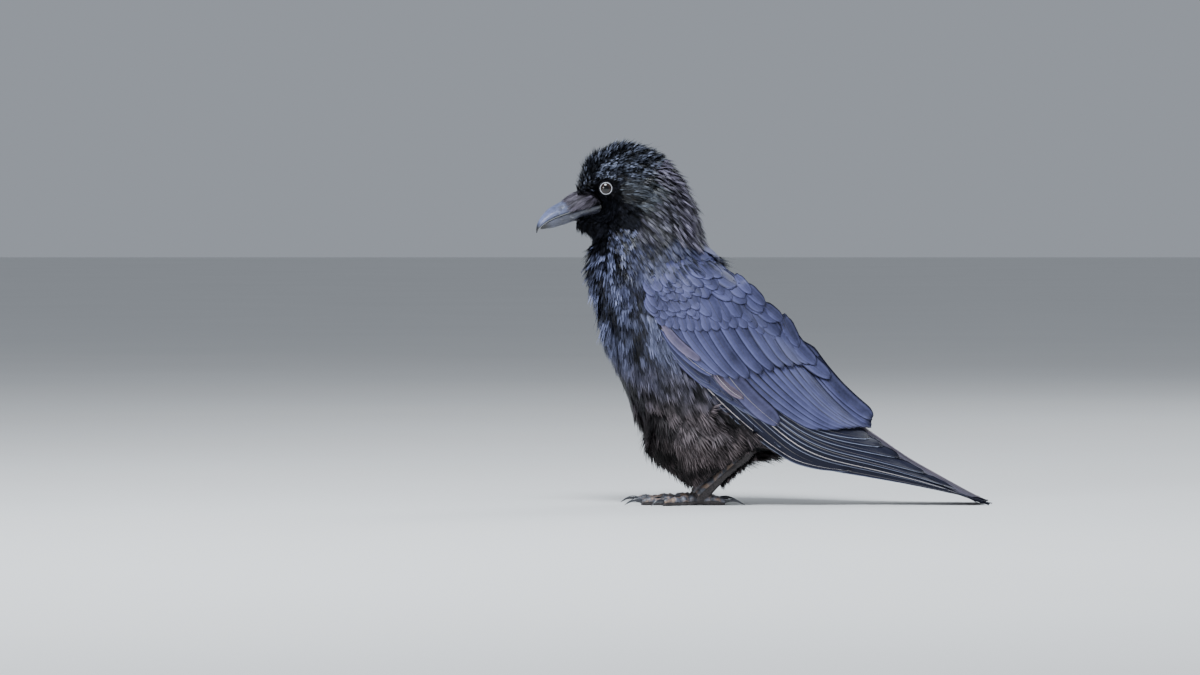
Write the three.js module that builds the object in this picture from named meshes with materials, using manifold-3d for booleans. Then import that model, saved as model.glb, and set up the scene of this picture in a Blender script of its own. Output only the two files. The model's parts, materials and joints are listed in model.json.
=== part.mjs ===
// A carrion crow, life-size, standing still: sub-parts of the whole body as closed solids.
// Millimetres, +Z up, floor at z = 0. The bird faces -X, its left side is towards -Y.
// While it is modelled, x = 0 is above the feet. At the end the whole bird is moved so that the
// origin is at the bottom centre of its box.
import * as THREE from 'three';
import { mergeVertices } from 'three/addons/utils/BufferGeometryUtils.js';
import Module from 'manifold-3d';

// Driving dimensions
const gap = 0.3; // clearance between neighbours
const headEnd = 5.15; // station at which the head gives way to the neck
const neckEnd = 9.4; // station at which the neck gives way to the trunk
const bodySides = 22; // facets round the body
const ringsPerStation = 2;
const halfCut = 0.008; // half the cut between two lengths of the body, in stations
const billSides = 10;
const wingRings = 17; // facets along a wing
const wingSteps = 6; // facets across a wing
const wingWidest = 0.4; // share of the way up at which a wing stands out most
const wingStandOff = 2.2; // how far the folded wing stands proud of the flank
const tipHeight = 0.4; // the wing tips lie this far above the floor
const tailSteps = 4; // facets across half the tail
const thighSides = 16;
const limbSides = 8;
const clawSteps = 4;

const eyeRadius = 6.2;
const eyeCentre = { x: -75.2, y: 14.6, z: 252.4 };

const footSpread = 21; // each foot's distance from the middle plane
const rightFootForward = 3; // how far the right foot stands ahead of the left
const toeHeight = 7.4;
const clawHeight = 3.6;
const soleDepth = 0.66; // a toe's axis above its flat sole, as a share of the half height

const bendStart = { x: 78.6, z: 83.3 }; // behind this point the tail and wing tips turn up
const bendDirection = THREE.MathUtils.degToRad(-42); // the way the folded wing runs
const bendZone = 70; // length over which they turn, after which they run straight
const bendRise = 0.305; // the turn, as rise for each millimetre along the middle line
const bendSpread = 0.0077; // more of it for each millimetre below that line

// The body's stations, from the face to the vent. back and front are points of the side outline as [x, z], half is half
// the width, and widest says how far up from the front the section is widest.

const bodyStations = [
  { back: [-98.5, 250.5], front: [-101, 225], half: 7.5, widest: 0.5 }, // face
  { back: [-94.4, 268], front: [-95.2, 219.2], half: 14, widest: 0.5 }, // forehead
  { back: [-82.4, 281.6], front: [-87.2, 214.4], half: 17.5, widest: 0.5 },
  { back: [-63.2, 288.2], front: [-84.8, 209.6], half: 20, widest: 0.5 }, // eye, crown
  { back: [-43.2, 283.6], front: [-87.2, 204.2], half: 22.5, widest: 0.5 },
  { back: [-27.2, 274.8], front: [-89.8, 199], half: 24.5, widest: 0.5 }, // nape, throat
  { back: [-14.4, 260], front: [-91.4, 192.5], half: 26.5, widest: 0.5 },
  { back: [-6.4, 243.2], front: [-91.4, 185.4], half: 29, widest: 0.5 },
  { back: [-0.8, 225.6], front: [-89.8, 176.8], half: 32, widest: 0.52 },
  { back: [3.6, 210], front: [-85.6, 164.8], half: 36, widest: 0.54 }, // foot of the neck
  { back: [17, 193.5], front: [-83.2, 148.8], half: 41, widest: 0.55 },
  { back: [32, 175], front: [-77.6, 128.8], half: 45, widest: 0.55 }, // breast
  { back: [50, 149], front: [-68.8, 107.2], half: 47.5, widest: 0.55 },
  { back: [68, 126], front: [-58.4, 81.6], half: 47.5, widest: 0.55 },
  { back: [85, 104.5], front: [-44, 57], half: 44, widest: 0.55 }, // belly
  { back: [99, 84], front: [-17, 39], half: 37, widest: 0.55 },
  { back: [106, 70], front: [22, 33.5], half: 28, widest: 0.52 },
  { back: [109, 60], front: [60, 37.6], half: 16, widest: 0.5 }, // vent
];

// The folded wing's stations, from the bend to the tip. upper and lower are the edges as [x, z, distance from the middle
// plane], out is the widest distance between them, and thick is the wing's own thickness.

const wingStations = [
  { upper: [-33, 181, 30], lower: [-38.4, 172.8, 34], out: 36.5, thick: 4 },
  { upper: [-8, 194, 26], lower: [-37, 155.2, 39], out: 44, thick: 6 },
  { upper: [17.6, 187, 23], lower: [-30, 139.2, 44], out: 49.5, thick: 7 },
  { upper: [40, 168, 19], lower: [-19.2, 117.6, 47.5], out: 53, thick: 8 },
  { upper: [62.4, 143.5, 12], lower: [4, 92.8, 47], out: 53.5, thick: 8 },
  { upper: [81.6, 121.5, 6], lower: [29.6, 69.6, 43], out: 50.5, thick: 8 },
  { upper: [103, 98.2, 2.5], lower: [61.6, 40.8, 36], out: 44, thick: 7 },
  { upper: [121.5, 75.5, 1], lower: [84.8, 25.6, 30], out: 36.5, thick: 6 },
  { upper: [134, 58.4, 2], lower: [108.8, 11.5, 24.5], out: 29.5, thick: 5 }, // tertial tips
  { upper: [148, 27, 15], lower: [132, -4, 24], out: 27, thick: 4 },
  { upper: [168, -1, 18], lower: [158, -22, 25.5], out: 27.5, thick: 3 },
  { upper: [184, -25, 21], lower: [179, -36.5, 26.5], out: 28, thick: 2.2 },
  { upper: [191, -38, 23.5], lower: [190, -45, 26.5], out: 27.5, thick: 1.6 }, // tip
];

// The folded tail: ridge is the middle line of its upper side as [x, z], half is half the width, drop is how much
// lower its edges lie, and thick its thickness.

const tailStations = [
  { ridge: [95, 90], half: 11, drop: 3, thick: 6 },
  { ridge: [120, 66.5], half: 13, drop: 4, thick: 6 },
  { ridge: [138.4, 49.6], half: 15.5, drop: 5, thick: 5 },
  { ridge: [157.6, 26.5], half: 18, drop: 5.5, thick: 4 },
  { ridge: [176, 8.8], half: 20, drop: 5.5, thick: 3.2 },
  { ridge: [195.5, -11.2], half: 21, drop: 5, thick: 2.4 },
  { ridge: [203, -21.5], half: 18.5, drop: 4, thick: 1.9 },
  { ridge: [206, -26], half: 12, drop: 2.5, thick: 1.6 },
];

// The bill. Its rings stand across its length. top, bottom as [x, z], half is half the width.

const upperBillStations = [
  { top: [-88, 254], bottom: [-79, 240.9], half: 8.6 },
  { top: [-100.4, 248.4], bottom: [-92, 237.4], half: 8.5 },
  { top: [-108.9, 243.2], bottom: [-101, 234.4], half: 7.8 },
  { top: [-116.2, 239.4], bottom: [-110.5, 231.3], half: 6.6 },
  { top: [-122.2, 235.4], bottom: [-118, 228.2], half: 5.2 },
  { top: [-126.8, 230], bottom: [-123.8, 224.9], half: 3.9 },
  { top: [-130, 224.8], bottom: [-127.2, 222], half: 2.6 },
  { top: [-131, 220], bottom: [-129.4, 219.4], half: 1.5 },
  { top: [-130.9, 216.6], bottom: [-130.3, 216.8], half: 0.6 },
];

const lowerBillStations = [
  { top: [-79.2, 240.2], bottom: [-77, 233], half: 8.4 },
  { top: [-92, 236.8], bottom: [-91, 228.6], half: 7.8 },
  { top: [-101, 233.8], bottom: [-101.6, 225.6], half: 6.8 },
  { top: [-110.5, 230.7], bottom: [-109.5, 223], half: 5.4 },
  { top: [-118, 227.6], bottom: [-117, 220.9], half: 4.2 },
  { top: [-123.8, 224.2], bottom: [-123.6, 220], half: 2.8 },
  { top: [-127.4, 221.2], bottom: [-127.6, 219.6], half: 1.2 },
];

// Legs and feet
const thighStations = [
  // level sections from the hidden top down: z, x from front to rear, half width, distance out
  { z: 88, from: -40, to: 50, half: 14, out: 25 },
  { z: 60, from: -43, to: 48, half: 14, out: 25 },
  { z: 43, from: -38, to: 42, half: 13, out: 24 },
  { z: 33, from: -26, to: 25, half: 11.5, out: 23 },
  { z: 26, from: -17, to: 12, half: 9.5, out: 22 },
  { z: 18.5, from: -10, to: -2, half: 6, out: 21.5 },
];

const heel = { x: 41, z: 44 };
const tarsusStations = [
  // along the bone: at is the share of the way from the heel to the foot
  { at: 0, deep: 5.2, wide: 4.2 },
  { at: 0.12, deep: 5.6, wide: 4.4 },
  { at: 0.35, deep: 4.3, wide: 3.1 },
  { at: 0.7, deep: 4.5, wide: 3.1 },
  { at: 0.9, deep: 5.4, wide: 4.2 },
  { at: 1, deep: 4.6, wide: 4.4 },
];
const ankle = { x: -1, z: 6.2 }; // middle of the foot, where the toes meet
const padHalf = { x: 6.4, y: 5.4, z: 4.4 };

const toes = [
  // turn is the angle from straight ahead, outwards positive
  { name: 'middle', turn: 3, length: 47, claw: 14, joints: 3 },
  { name: 'inner', turn: -27, length: 30, claw: 13, joints: 2 },
  { name: 'outer', turn: 29, length: 34, claw: 11.5, joints: 4 },
  { name: 'hind', turn: 176, length: 21, claw: 17, joints: 1 },
];
const toeStart = 3; // where a toe begins, from the foot's middle

// Materials
const paint = (color, roughness) => new THREE.MeshStandardMaterial({ color, roughness, metalness: 0 });
const plumage = paint(0x14141a, 0.55);
const glossyPlumage = paint(0x2a2c3d, 0.4);
const horn = paint(0x23242b, 0.3);
const scaledSkin = paint(0x1f1c20, 0.6);
const eyeBrown = paint(0x1a0f0a, 0.08);

const wasm = await Module();
wasm.setup();

// Points and triangles as a solid whose faces point out.
function solidOf(points, faces) {
  let volume = 0;
  for (let i = 0; i < faces.length; i += 3) {
    const [a, b, c] = [0, 1, 2].map((k) => points[faces[i + k]]);
    volume += a.dot(new THREE.Vector3().crossVectors(b, c));
  }
  if (volume < 0) faces.reverse();
  const vertProperties = new Float32Array(points.flatMap((p) => p.toArray()));
  return new wasm.Manifold(new wasm.Mesh({ numProp: 3, vertProperties, triVerts: new Uint32Array(faces) }));
}

// A closed skin through rings of points, with a fan over each end.
function loft(rings) {
  const sides = rings[0].length;
  const points = rings.flat();
  const faces = [];
  for (let r = 0; r + 1 < rings.length; r += 1) {
    for (let s = 0; s < sides; s += 1) {
      const a = r * sides + s;
      const b = r * sides + ((s + 1) % sides);
      faces.push(a, b, b + sides, a, b + sides, a + sides);
    }
  }
  for (const end of [0, rings.length - 1]) {
    const middle = new THREE.Vector3();
    rings[end].forEach((p) => middle.addScaledVector(p, 1 / sides));
    points.push(middle);
    for (let s = 0; s < sides; s += 1) {
      const edge = [end * sides + s, end * sides + ((s + 1) % sides)];
      if (end === 0) edge.reverse();
      faces.push(points.length - 1, ...edge);
    }
  }
  return solidOf(points, faces);
}

function geometryOf(solid) {
  const { vertProperties, triVerts } = solid.getMesh();
  const geometry = new THREE.BufferGeometry();
  geometry.setAttribute('position', new THREE.BufferAttribute(new Float32Array(vertProperties), 3));
  geometry.setIndex(new THREE.BufferAttribute(new Uint32Array(triVerts), 1));
  return geometry;
}

// A three.js geometry as a solid.
function solidFrom(geometry) {
  geometry.deleteAttribute('normal');
  geometry.deleteAttribute('uv');
  const merged = mergeVertices(geometry, 1e-4);
  const spots = merged.getAttribute('position');
  const points = [];
  for (let i = 0; i < spots.count; i += 1) points.push(new THREE.Vector3().fromBufferAttribute(spots, i));
  return solidOf(points, Array.from(merged.getIndex().array));
}

// Takes the cutters away and keeps the one large body, without the crumbs that a cut can leave.
function cut(solid, ...cutters) {
  const left = cutters.reduce((rest, cutter) => rest.subtract(cutter), solid).decompose();
  return left.reduce((best, piece) => (piece.volume() > best.volume() ? piece : best));
}

// A row of stations as smooth curves. The function returned gives all values at station t.
function smooth(stations, read) {
  const rows = stations.map(read);
  const curves = [];
  for (let k = 0; k < rows[0].length; k += 3) {
    const knots = rows.map((row) => new THREE.Vector3(row[k], row[k + 1] ?? 0, row[k + 2] ?? 0));
    curves.push(new THREE.CatmullRomCurve3(knots));
  }
  const last = stations.length - 1;
  return (t) => curves.flatMap((curve) => curve.getPoint(t / last).toArray());
}

const signedPower = (value, power) => Math.sign(value) * Math.abs(value) ** power;

// A rounded section that stands between two points of the side outline.
function sectionRing([topX, topZ, half, lowX, lowZ, widest], sides, grow, squareness = 0.94) {
  const across = new THREE.Vector2(topX - lowX, topZ - lowZ);
  const depth = across.length();
  across.normalize();
  const ring = [];
  for (let s = 0; s < sides; s += 1) {
    const angle = (2 * Math.PI * s) / sides;
    const rise = signedPower(Math.cos(angle), squareness);
    const y = signedPower(Math.sin(angle), squareness) * (half + grow);
    const share = rise > 0 ? widest + rise * (1 - widest) : widest + rise * widest;
    const along = share * depth + rise * grow;
    ring.push(new THREE.Vector3(lowX + across.x * along, y, lowZ + across.y * along));
  }
  return ring;
}

// Head, neck and trunk: lengths of one smooth body
const bodyAt = smooth(bodyStations, (s) => [...s.back, s.half, ...s.front, s.widest]);
const lastStation = bodyStations.length - 1;

function body(from, to, grow = 0) {
  const stops = [from];
  for (let t = Math.floor(from * ringsPerStation + 1) / ringsPerStation; t < to; t += 1 / ringsPerStation) {
    stops.push(t);
  }
  stops.push(to);
  return loft(stops.map((t) => sectionRing(bodyAt(t), bodySides, grow)));
}

// The bill's two halves, which reach back into the face
function bill(stations, widest, grow = 0) {
  const at = smooth(stations, (s) => [...s.top, s.half, ...s.bottom, widest]);
  const rings = [];
  for (let i = 0; i < stations.length; i += 1) rings.push(sectionRing(at(i), billSides, grow));
  return loft(rings);
}

function eye(side, grow = 0) {
  const ball = new THREE.SphereGeometry(eyeRadius + grow, 14, 8);
  ball.translate(eyeCentre.x, side * eyeCentre.y, eyeCentre.z);
  return solidFrom(ball);
}

// Turns the rear of the bird up, so that the tail and the wing tips lie on the floor.
function layOnFloor(x, z) {
  const cos = Math.cos(bendDirection);
  const sin = Math.sin(bendDirection);
  const along = (x - bendStart.x) * cos + (z - bendStart.z) * sin;
  const below = (x - bendStart.x) * sin - (z - bendStart.z) * cos;
  const share = THREE.MathUtils.clamp(along / bendZone, 0, 1);
  const turned = bendZone * (share ** 3 - share ** 4 / 2) + Math.max(0, along - bendZone);
  const lift = Math.max(0, bendRise + bendSpread * below) * turned;
  return [x - lift * sin, z + lift * cos];
}

// How far the body's side stands out at a place of the side outline, or nothing past the outline.
const flank = new THREE.Mesh(geometryOf(body(neckEnd - 3, lastStation)), plumage);
flank.material.side = THREE.DoubleSide;
const probe = new THREE.Raycaster();
const inwards = new THREE.Vector3(0, -1, 0);
function flankAt(x, z) {
  probe.set(new THREE.Vector3(x, 200, z), inwards);
  const [hit] = probe.intersectObject(flank);
  return hit ? hit.point.y : 0;
}

// Wings
const wingAt = smooth(wingStations, (s) => [...s.upper, ...s.lower, s.out, s.thick]);
const lastWingStation = wingStations.length - 1;

function wing(side, grow = 0) {
  const rings = [];
  for (let i = 0; i <= wingRings; i += 1) {
    const [upX, upZ, upY, lowX, lowZ, lowY, out, thick] = wingAt((i * lastWingStation) / wingRings);
    const outer = [];
    const inner = [];
    for (let k = 0; k <= wingSteps; k += 1) {
      const share = k / wingSteps;
      const x = lowX + (upX - lowX) * share;
      const z = lowZ + (upZ - lowZ) * share;
      const low = share < wingWidest;
      const away = low ? 1 - share / wingWidest : (share - wingWidest) / (1 - wingWidest);
      const specified = out - (out - (low ? lowY : upY)) * away ** 2.2;
      const edge = Math.min(1, 0.4 + 4 * Math.min(share, 1 - share));
      const y = Math.max(specified, flankAt(x, z) + wingStandOff * edge) + grow;
      const [laidX, laidZ] = layOnFloor(x, z);
      const height = Math.max(laidZ, tipHeight - 2 * grow);
      const under = Math.max(y - thick * edge - 2 * grow, gap / 2 - grow);
      outer.push(new THREE.Vector3(laidX, side * y, height));
      inner.unshift(new THREE.Vector3(laidX, side * under, height));
    }
    rings.push([...outer, ...inner]);
  }
  return loft(rings);
}

// Tail
const tailAt = smooth(tailStations, (s) => [...s.ridge, s.half, s.drop, s.thick]);

function tail(grow = 0) {
  const rings = [];
  for (let i = 0; i <= (tailStations.length - 1) * 2; i += 1) {
    const [ridgeX, ridgeZ, half, drop, thick] = tailAt(i / 2);
    const [x, z] = layOnFloor(ridgeX, ridgeZ);
    const upper = [];
    const under = [];
    for (let k = -tailSteps; k <= tailSteps; k += 1) {
      const share = k / tailSteps;
      const top = z - drop * Math.abs(share) ** 1.6;
      const thickness = thick * (1 - 0.5 * Math.abs(share));
      upper.push(new THREE.Vector3(x, share * (half + grow), Math.max(top + grow, thick * 0.6)));
      under.unshift(new THREE.Vector3(x, share * (half + grow), Math.max(top - thickness - grow, 0)));
    }
    rings.push([...upper, ...under]);
  }
  return loft(rings);
}

// Legs
function thigh(side, ahead) {
  const at = smooth(thighStations, (s) => [s.z, s.from, s.to, s.half, s.out, 0]);
  const rings = [];
  for (let i = 0; i <= (thighStations.length - 1) * 2; i += 1) {
    const [z, from, to, half, out] = at(i / 2);
    const ring = [];
    for (let s = 0; s < thighSides; s += 1) {
      const angle = (2 * Math.PI * s) / thighSides;
      const x = (from + to) / 2 + (Math.cos(angle) * (to - from)) / 2 - ahead;
      ring.push(new THREE.Vector3(x, side * (out + Math.sin(angle) * half), z));
    }
    rings.push(ring);
  }
  return loft(rings);
}

// The bone and its scaled skin, with the pad under the joint of the toes
function tarsus(side, ahead, grow = 0) {
  const run = new THREE.Vector2(ankle.x - heel.x, ankle.z - heel.z);
  const forward = new THREE.Vector2(run.y, -run.x).normalize();
  const rings = tarsusStations.map(({ at, deep, wide }) => {
    const ring = [];
    for (let s = 0; s < limbSides; s += 1) {
      const angle = (2 * Math.PI * s) / limbSides;
      const reach = Math.cos(angle) * (deep + grow);
      const x = heel.x + run.x * at + forward.x * reach - ahead;
      const z = heel.z + run.y * at + forward.y * reach;
      ring.push(new THREE.Vector3(x, side * (footSpread + Math.sin(angle) * (wide + grow)), z));
    }
    return ring;
  });
  const pad = new THREE.SphereGeometry(1, 10, 6);
  pad.scale(padHalf.x + grow, padHalf.y + grow, padHalf.z + grow);
  pad.translate(ankle.x - ahead, side * footSpread, padHalf.z + gap);
  return loft(rings).add(solidFrom(pad));
}

// A tapering limb along a path of [distance, height, half width, half height], turned about the
// foot's middle and flat underneath where it meets the floor.
function limb(path, turn, side, ahead, grow = 0) {
  const heading = new THREE.Vector2(-Math.cos(turn), Math.sin(turn) * side);
  const rings = path.map(([distance, height, half, tall]) => {
    const ring = [];
    for (let s = 0; s < limbSides; s += 1) {
      const angle = (2 * Math.PI * s) / limbSides;
      const across = Math.sin(angle) * (half + grow);
      const x = ankle.x - ahead + heading.x * distance - heading.y * across;
      const y = side * footSpread + heading.y * distance + heading.x * across;
      const z = Math.max(height + Math.cos(angle) * (tall + grow), grow ? -1 : 0);
      ring.push(new THREE.Vector3(x, y, z));
    }
    return ring;
  });
  return loft(rings);
}

function toePath({ length, joints }) {
  const path = [];
  const steps = Math.max(5, joints * 3);
  for (let i = 0; i <= steps; i += 1) {
    const share = i / steps;
    const pad = 1 + 0.13 * Math.cos(2 * Math.PI * share * joints + Math.PI);
    const end = i === steps ? 0.6 : 1;
    const tall = (toeHeight / (1 + soleDepth)) * (1 - 0.28 * share) * pad * end;
    path.push([toeStart + (length - toeStart) * share, tall * soleDepth, tall * 0.9, tall]);
  }
  return path;
}

function clawPath({ length, claw }) {
  const path = [];
  for (let i = 0; i <= clawSteps; i += 1) {
    const share = i / clawSteps;
    const tall = (clawHeight / 2) * (1 - share) ** 0.8 + 0.35;
    const arch = 2.4 * (1 - share) + 2.6 * Math.sin(Math.PI * share) + 0.3;
    path.push([length - 2.5 + (claw + 1) * share, arch, tall * 0.72, tall]);
  }
  return path;
}

// Assembly
const bird = new THREE.Group();

function add(name, solid, material) {
  const mesh = new THREE.Mesh(geometryOf(solid), material);
  mesh.name = name;
  bird.add(mesh);
}

const sides = [{ name: 'left', side: -1, ahead: 0 }, { name: 'right', side: 1, ahead: rightFootForward }];
const upperBill = bill(upperBillStations, 0.3);
const upperBillRoom = bill(upperBillStations, 0.3, gap);
const lowerBillRoom = bill(lowerBillStations, 0.7, gap);
const eyeRooms = sides.map(({ side }) => eye(side, gap));
const heelRooms = sides.map(({ side, ahead }) => tarsus(side, ahead, gap));
const neckRoom = body(headEnd - 0.3, neckEnd + 0.3, gap);
const trunkRoom = body(neckEnd - 0.3, lastStation, gap);
const tailRoom = tail(gap);

add('head', cut(body(0, headEnd - halfCut), upperBillRoom, lowerBillRoom, ...eyeRooms), plumage);
add('neck', body(headEnd + halfCut, neckEnd - halfCut), plumage);
add('trunk', cut(body(neckEnd + halfCut, lastStation - 0.1), ...heelRooms), plumage);
add('tail', cut(tail(), trunkRoom), glossyPlumage);
add('bill_upper', upperBill, horn);
add('bill_lower', cut(bill(lowerBillStations, 0.7), upperBillRoom), horn);

for (const { name, side, ahead } of sides) {
  const tarsusRoom = tarsus(side, ahead, gap);
  add(`eye_${name}`, eye(side), eyeBrown);
  add(`wing_${name}`, cut(wing(side), neckRoom, trunkRoom, tailRoom), glossyPlumage);
  add(`thigh_${name}`, cut(thigh(side, ahead), trunkRoom, tarsusRoom), plumage);
  add(`tarsus_${name}`, tarsus(side, ahead), scaledSkin);
  const toeRooms = [];
  for (const toe of toes) {
    const turn = THREE.MathUtils.degToRad(toe.turn);
    const clawRoom = limb(clawPath(toe), turn, side, ahead, gap);
    const toeSolid = limb(toePath(toe), turn, side, ahead);
    add(`toe_${toe.name}_${name}`, cut(toeSolid, tarsusRoom, clawRoom, ...toeRooms), scaledSkin);
    add(`claw_${toe.name}_${name}`, limb(clawPath(toe), turn, side, ahead), horn);
    toeRooms.push(limb(toePath(toe), turn, side, ahead, gap));
  }
}

// Origin at the bottom centre of the whole bird's box
const box = new THREE.Box3().setFromObject(bird);
const middle = box.getCenter(new THREE.Vector3());
bird.position.set(-middle.x, -middle.y, -box.min.z);

export default bird;
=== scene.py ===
# A carrion crow, life-size, standing still: one skin with its feathers over it, and the bill,
# claws and eyes. Metres in the model's own frame. The bird's own sizes are in millimetres, with
# x = 0 above its feet, and inFrame() puts them in their place. The left side is towards -y.
import json
import math
import random

import bmesh
import bpy
import numpy as np
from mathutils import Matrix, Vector
from mathutils.bvhtree import BVHTree

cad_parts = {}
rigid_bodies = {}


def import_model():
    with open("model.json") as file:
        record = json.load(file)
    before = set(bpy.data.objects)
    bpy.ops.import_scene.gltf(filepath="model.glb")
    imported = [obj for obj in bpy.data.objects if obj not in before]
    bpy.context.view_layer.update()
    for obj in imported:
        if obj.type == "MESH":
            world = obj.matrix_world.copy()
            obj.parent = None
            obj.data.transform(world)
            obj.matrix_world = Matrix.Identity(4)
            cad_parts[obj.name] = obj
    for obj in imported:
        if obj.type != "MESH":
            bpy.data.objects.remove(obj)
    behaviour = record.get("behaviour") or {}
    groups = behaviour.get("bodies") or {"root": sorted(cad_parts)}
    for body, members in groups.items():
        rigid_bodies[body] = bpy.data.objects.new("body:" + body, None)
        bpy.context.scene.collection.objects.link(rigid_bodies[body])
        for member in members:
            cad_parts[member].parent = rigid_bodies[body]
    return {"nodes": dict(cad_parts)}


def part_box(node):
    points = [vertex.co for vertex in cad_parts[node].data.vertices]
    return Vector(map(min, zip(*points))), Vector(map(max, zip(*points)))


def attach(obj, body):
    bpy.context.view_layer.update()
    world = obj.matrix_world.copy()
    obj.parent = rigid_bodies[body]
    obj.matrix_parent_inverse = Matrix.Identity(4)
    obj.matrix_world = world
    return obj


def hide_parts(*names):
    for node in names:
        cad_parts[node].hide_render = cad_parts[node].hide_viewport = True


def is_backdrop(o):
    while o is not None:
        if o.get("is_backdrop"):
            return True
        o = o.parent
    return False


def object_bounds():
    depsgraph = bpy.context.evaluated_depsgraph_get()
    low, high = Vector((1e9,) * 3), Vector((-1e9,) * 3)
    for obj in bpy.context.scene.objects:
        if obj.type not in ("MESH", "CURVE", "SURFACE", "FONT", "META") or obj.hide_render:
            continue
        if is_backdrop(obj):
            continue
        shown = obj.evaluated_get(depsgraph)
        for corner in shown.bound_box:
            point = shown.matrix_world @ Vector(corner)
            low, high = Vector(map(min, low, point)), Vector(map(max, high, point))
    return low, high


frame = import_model()
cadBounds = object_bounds()

mm = 0.001
eye = {
    "x": -75.2,
    "y": 14.6,
    "z": 252.4,
    "radius": 6.2,
    "rim": 4.8,  # the lid's outer and inner edge
    "opening": 4.36,
    "iris": 4.3,
    "pupil": 2.4,
}
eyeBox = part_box("eye_left")
feetX = (eyeBox[0].x + eyeBox[1].x) / 2 - eye["x"] * mm
shift = np.array((feetX, 0.0, 0.0))
sides = {"left": -1, "right": 1}


def inFrame(x, y, z):
    return Vector((x * mm + feetX, y * mm, z * mm))


def toFrame(points):
    return np.asarray(points, float) * mm + shift


def toBird(points):
    return (np.asarray(points, float) - shift) / mm


def smoothStep(low, high, value):
    share = np.clip((np.asarray(value, float) - low) / (high - low), 0, 1)
    return share * share * (3 - 2 * share)


def unit(vectors):
    return vectors / np.maximum(np.linalg.norm(vectors, axis=-1, keepdims=True), 1e-9)


def flatOn(normals, directions):
    # the directions laid down on the surface that the normals stand on
    return unit(directions - normals * (directions * normals).sum(1, keepdims=True))


def fromLine(x, z, start, end):
    # how far along a line its nearest place is, as a share, and how far away that is in x and z
    start = np.array(start, float)
    run = np.array(end, float) - start
    share = np.clip(((x - start[0]) * run[0] + (z - start[1]) * run[1]) / (run @ run), 0, 1)
    return share, x - start[0] - share * run[0], z - start[1] - share * run[1]


# Objects and their data


def addObject(name, mesh, *materials):
    for material in materials:
        mesh.materials.append(material)
    made = bpy.data.objects.new(name, mesh)
    bpy.context.scene.collection.objects.link(made)
    return made


def addPiece(name, mesh, materials=(), replaced=()):
    piece = addObject(name, mesh, *materials)
    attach(piece, "root")
    if replaced:
        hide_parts(*replaced)
    print(f"{name}: {len(mesh.loops) - 2 * len(mesh.polygons):,} triangles")


def meshFrom(name, points, faces):
    mesh = bpy.data.meshes.new(name)
    mesh.from_pydata([tuple(p) for p in points], [], [tuple(f) for f in faces])
    smoothed(mesh)
    return mesh


def smoothed(mesh):
    mesh.polygons.foreach_set("use_smooth", [True] * len(mesh.polygons))


def gridFaces(rows, columns, start=0):
    # the four-sided faces of a grid with so many rows and columns of them
    wide = columns + 1
    corners = [start + i * wide + k for i in range(rows) for k in range(columns)]
    return [(a, a + 1, a + wide + 1, a + wide) for a in corners]


def readData(items, field, wide=1, kind=np.float32):
    values = np.empty(len(items) * wide, kind)
    items.foreach_get(field, values)
    return values.reshape(-1, wide) if wide > 1 else values


def pointsOf(mesh):
    return readData(mesh.vertices, "co", 3).astype(float)


def normalsOf(mesh):
    return readData(mesh.vertices, "normal", 3).astype(float)


def edgesOf(mesh):
    return readData(mesh.edges, "vertices", 2, np.int32)


def cornerPoints(mesh):
    return readData(mesh.loops, "vertex_index", 1, np.int32)


def storeData(mesh, name, values, kind="FLOAT", domain="POINT"):
    made = mesh.attributes.new(name, kind, domain)
    field = "value" if kind == "FLOAT" else "vector"
    made.data.foreach_set(field, np.asarray(values, np.float32).ravel())


def evaluated(holder):
    # the finished mesh of an object that has modifiers; the object itself goes
    graph = bpy.context.evaluated_depsgraph_get()
    mesh = bpy.data.meshes.new_from_object(holder.evaluated_get(graph), depsgraph=graph)
    bpy.data.objects.remove(holder)
    return mesh


def turnOut(mesh):
    copy = bmesh.new()
    copy.from_mesh(mesh)
    bmesh.ops.recalc_face_normals(copy, faces=copy.faces)
    copy.to_mesh(mesh)
    copy.free()


def treeOf(names):
    points = []
    faces = []
    for name in names:
        mesh = frame["nodes"][name].data
        start = len(points)
        points += [vert.co.copy() for vert in mesh.vertices]
        faces += [[start + i for i in polygon.vertices] for polygon in mesh.polygons]
    return BVHTree.FromPolygons(points, faces)


# The camera, the floor and the studio's light

camera = {
    "distance": 5.0,
    "frameWidth": 0.96,  # what the frame takes in at the bird, from left to right
    "sensor": 36.0,
    "lookAt": (-80, 0, 133.2),
    "rise": 1.3,  # degrees above the level
    "farthest": 50,
}


def aimed(name, data, spot, aim):
    holder = bpy.data.objects.new(name, data)
    holder.location = spot
    holder.rotation_euler = aim.to_track_quat("-Z", "Y").to_euler()
    bpy.context.scene.collection.objects.link(holder)
    return holder


def makeCamera():
    data = bpy.data.cameras.new("camera")
    data.sensor_width = camera["sensor"]
    data.lens = camera["sensor"] * camera["distance"] / camera["frameWidth"]
    data.clip_end = camera["farthest"]
    rise = math.radians(camera["rise"])
    away = Vector((0, -math.cos(rise), math.sin(rise)))
    spot = inFrame(*camera["lookAt"]) + away * camera["distance"]
    bpy.context.scene.camera = aimed("camera", data, spot, -away)


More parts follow.
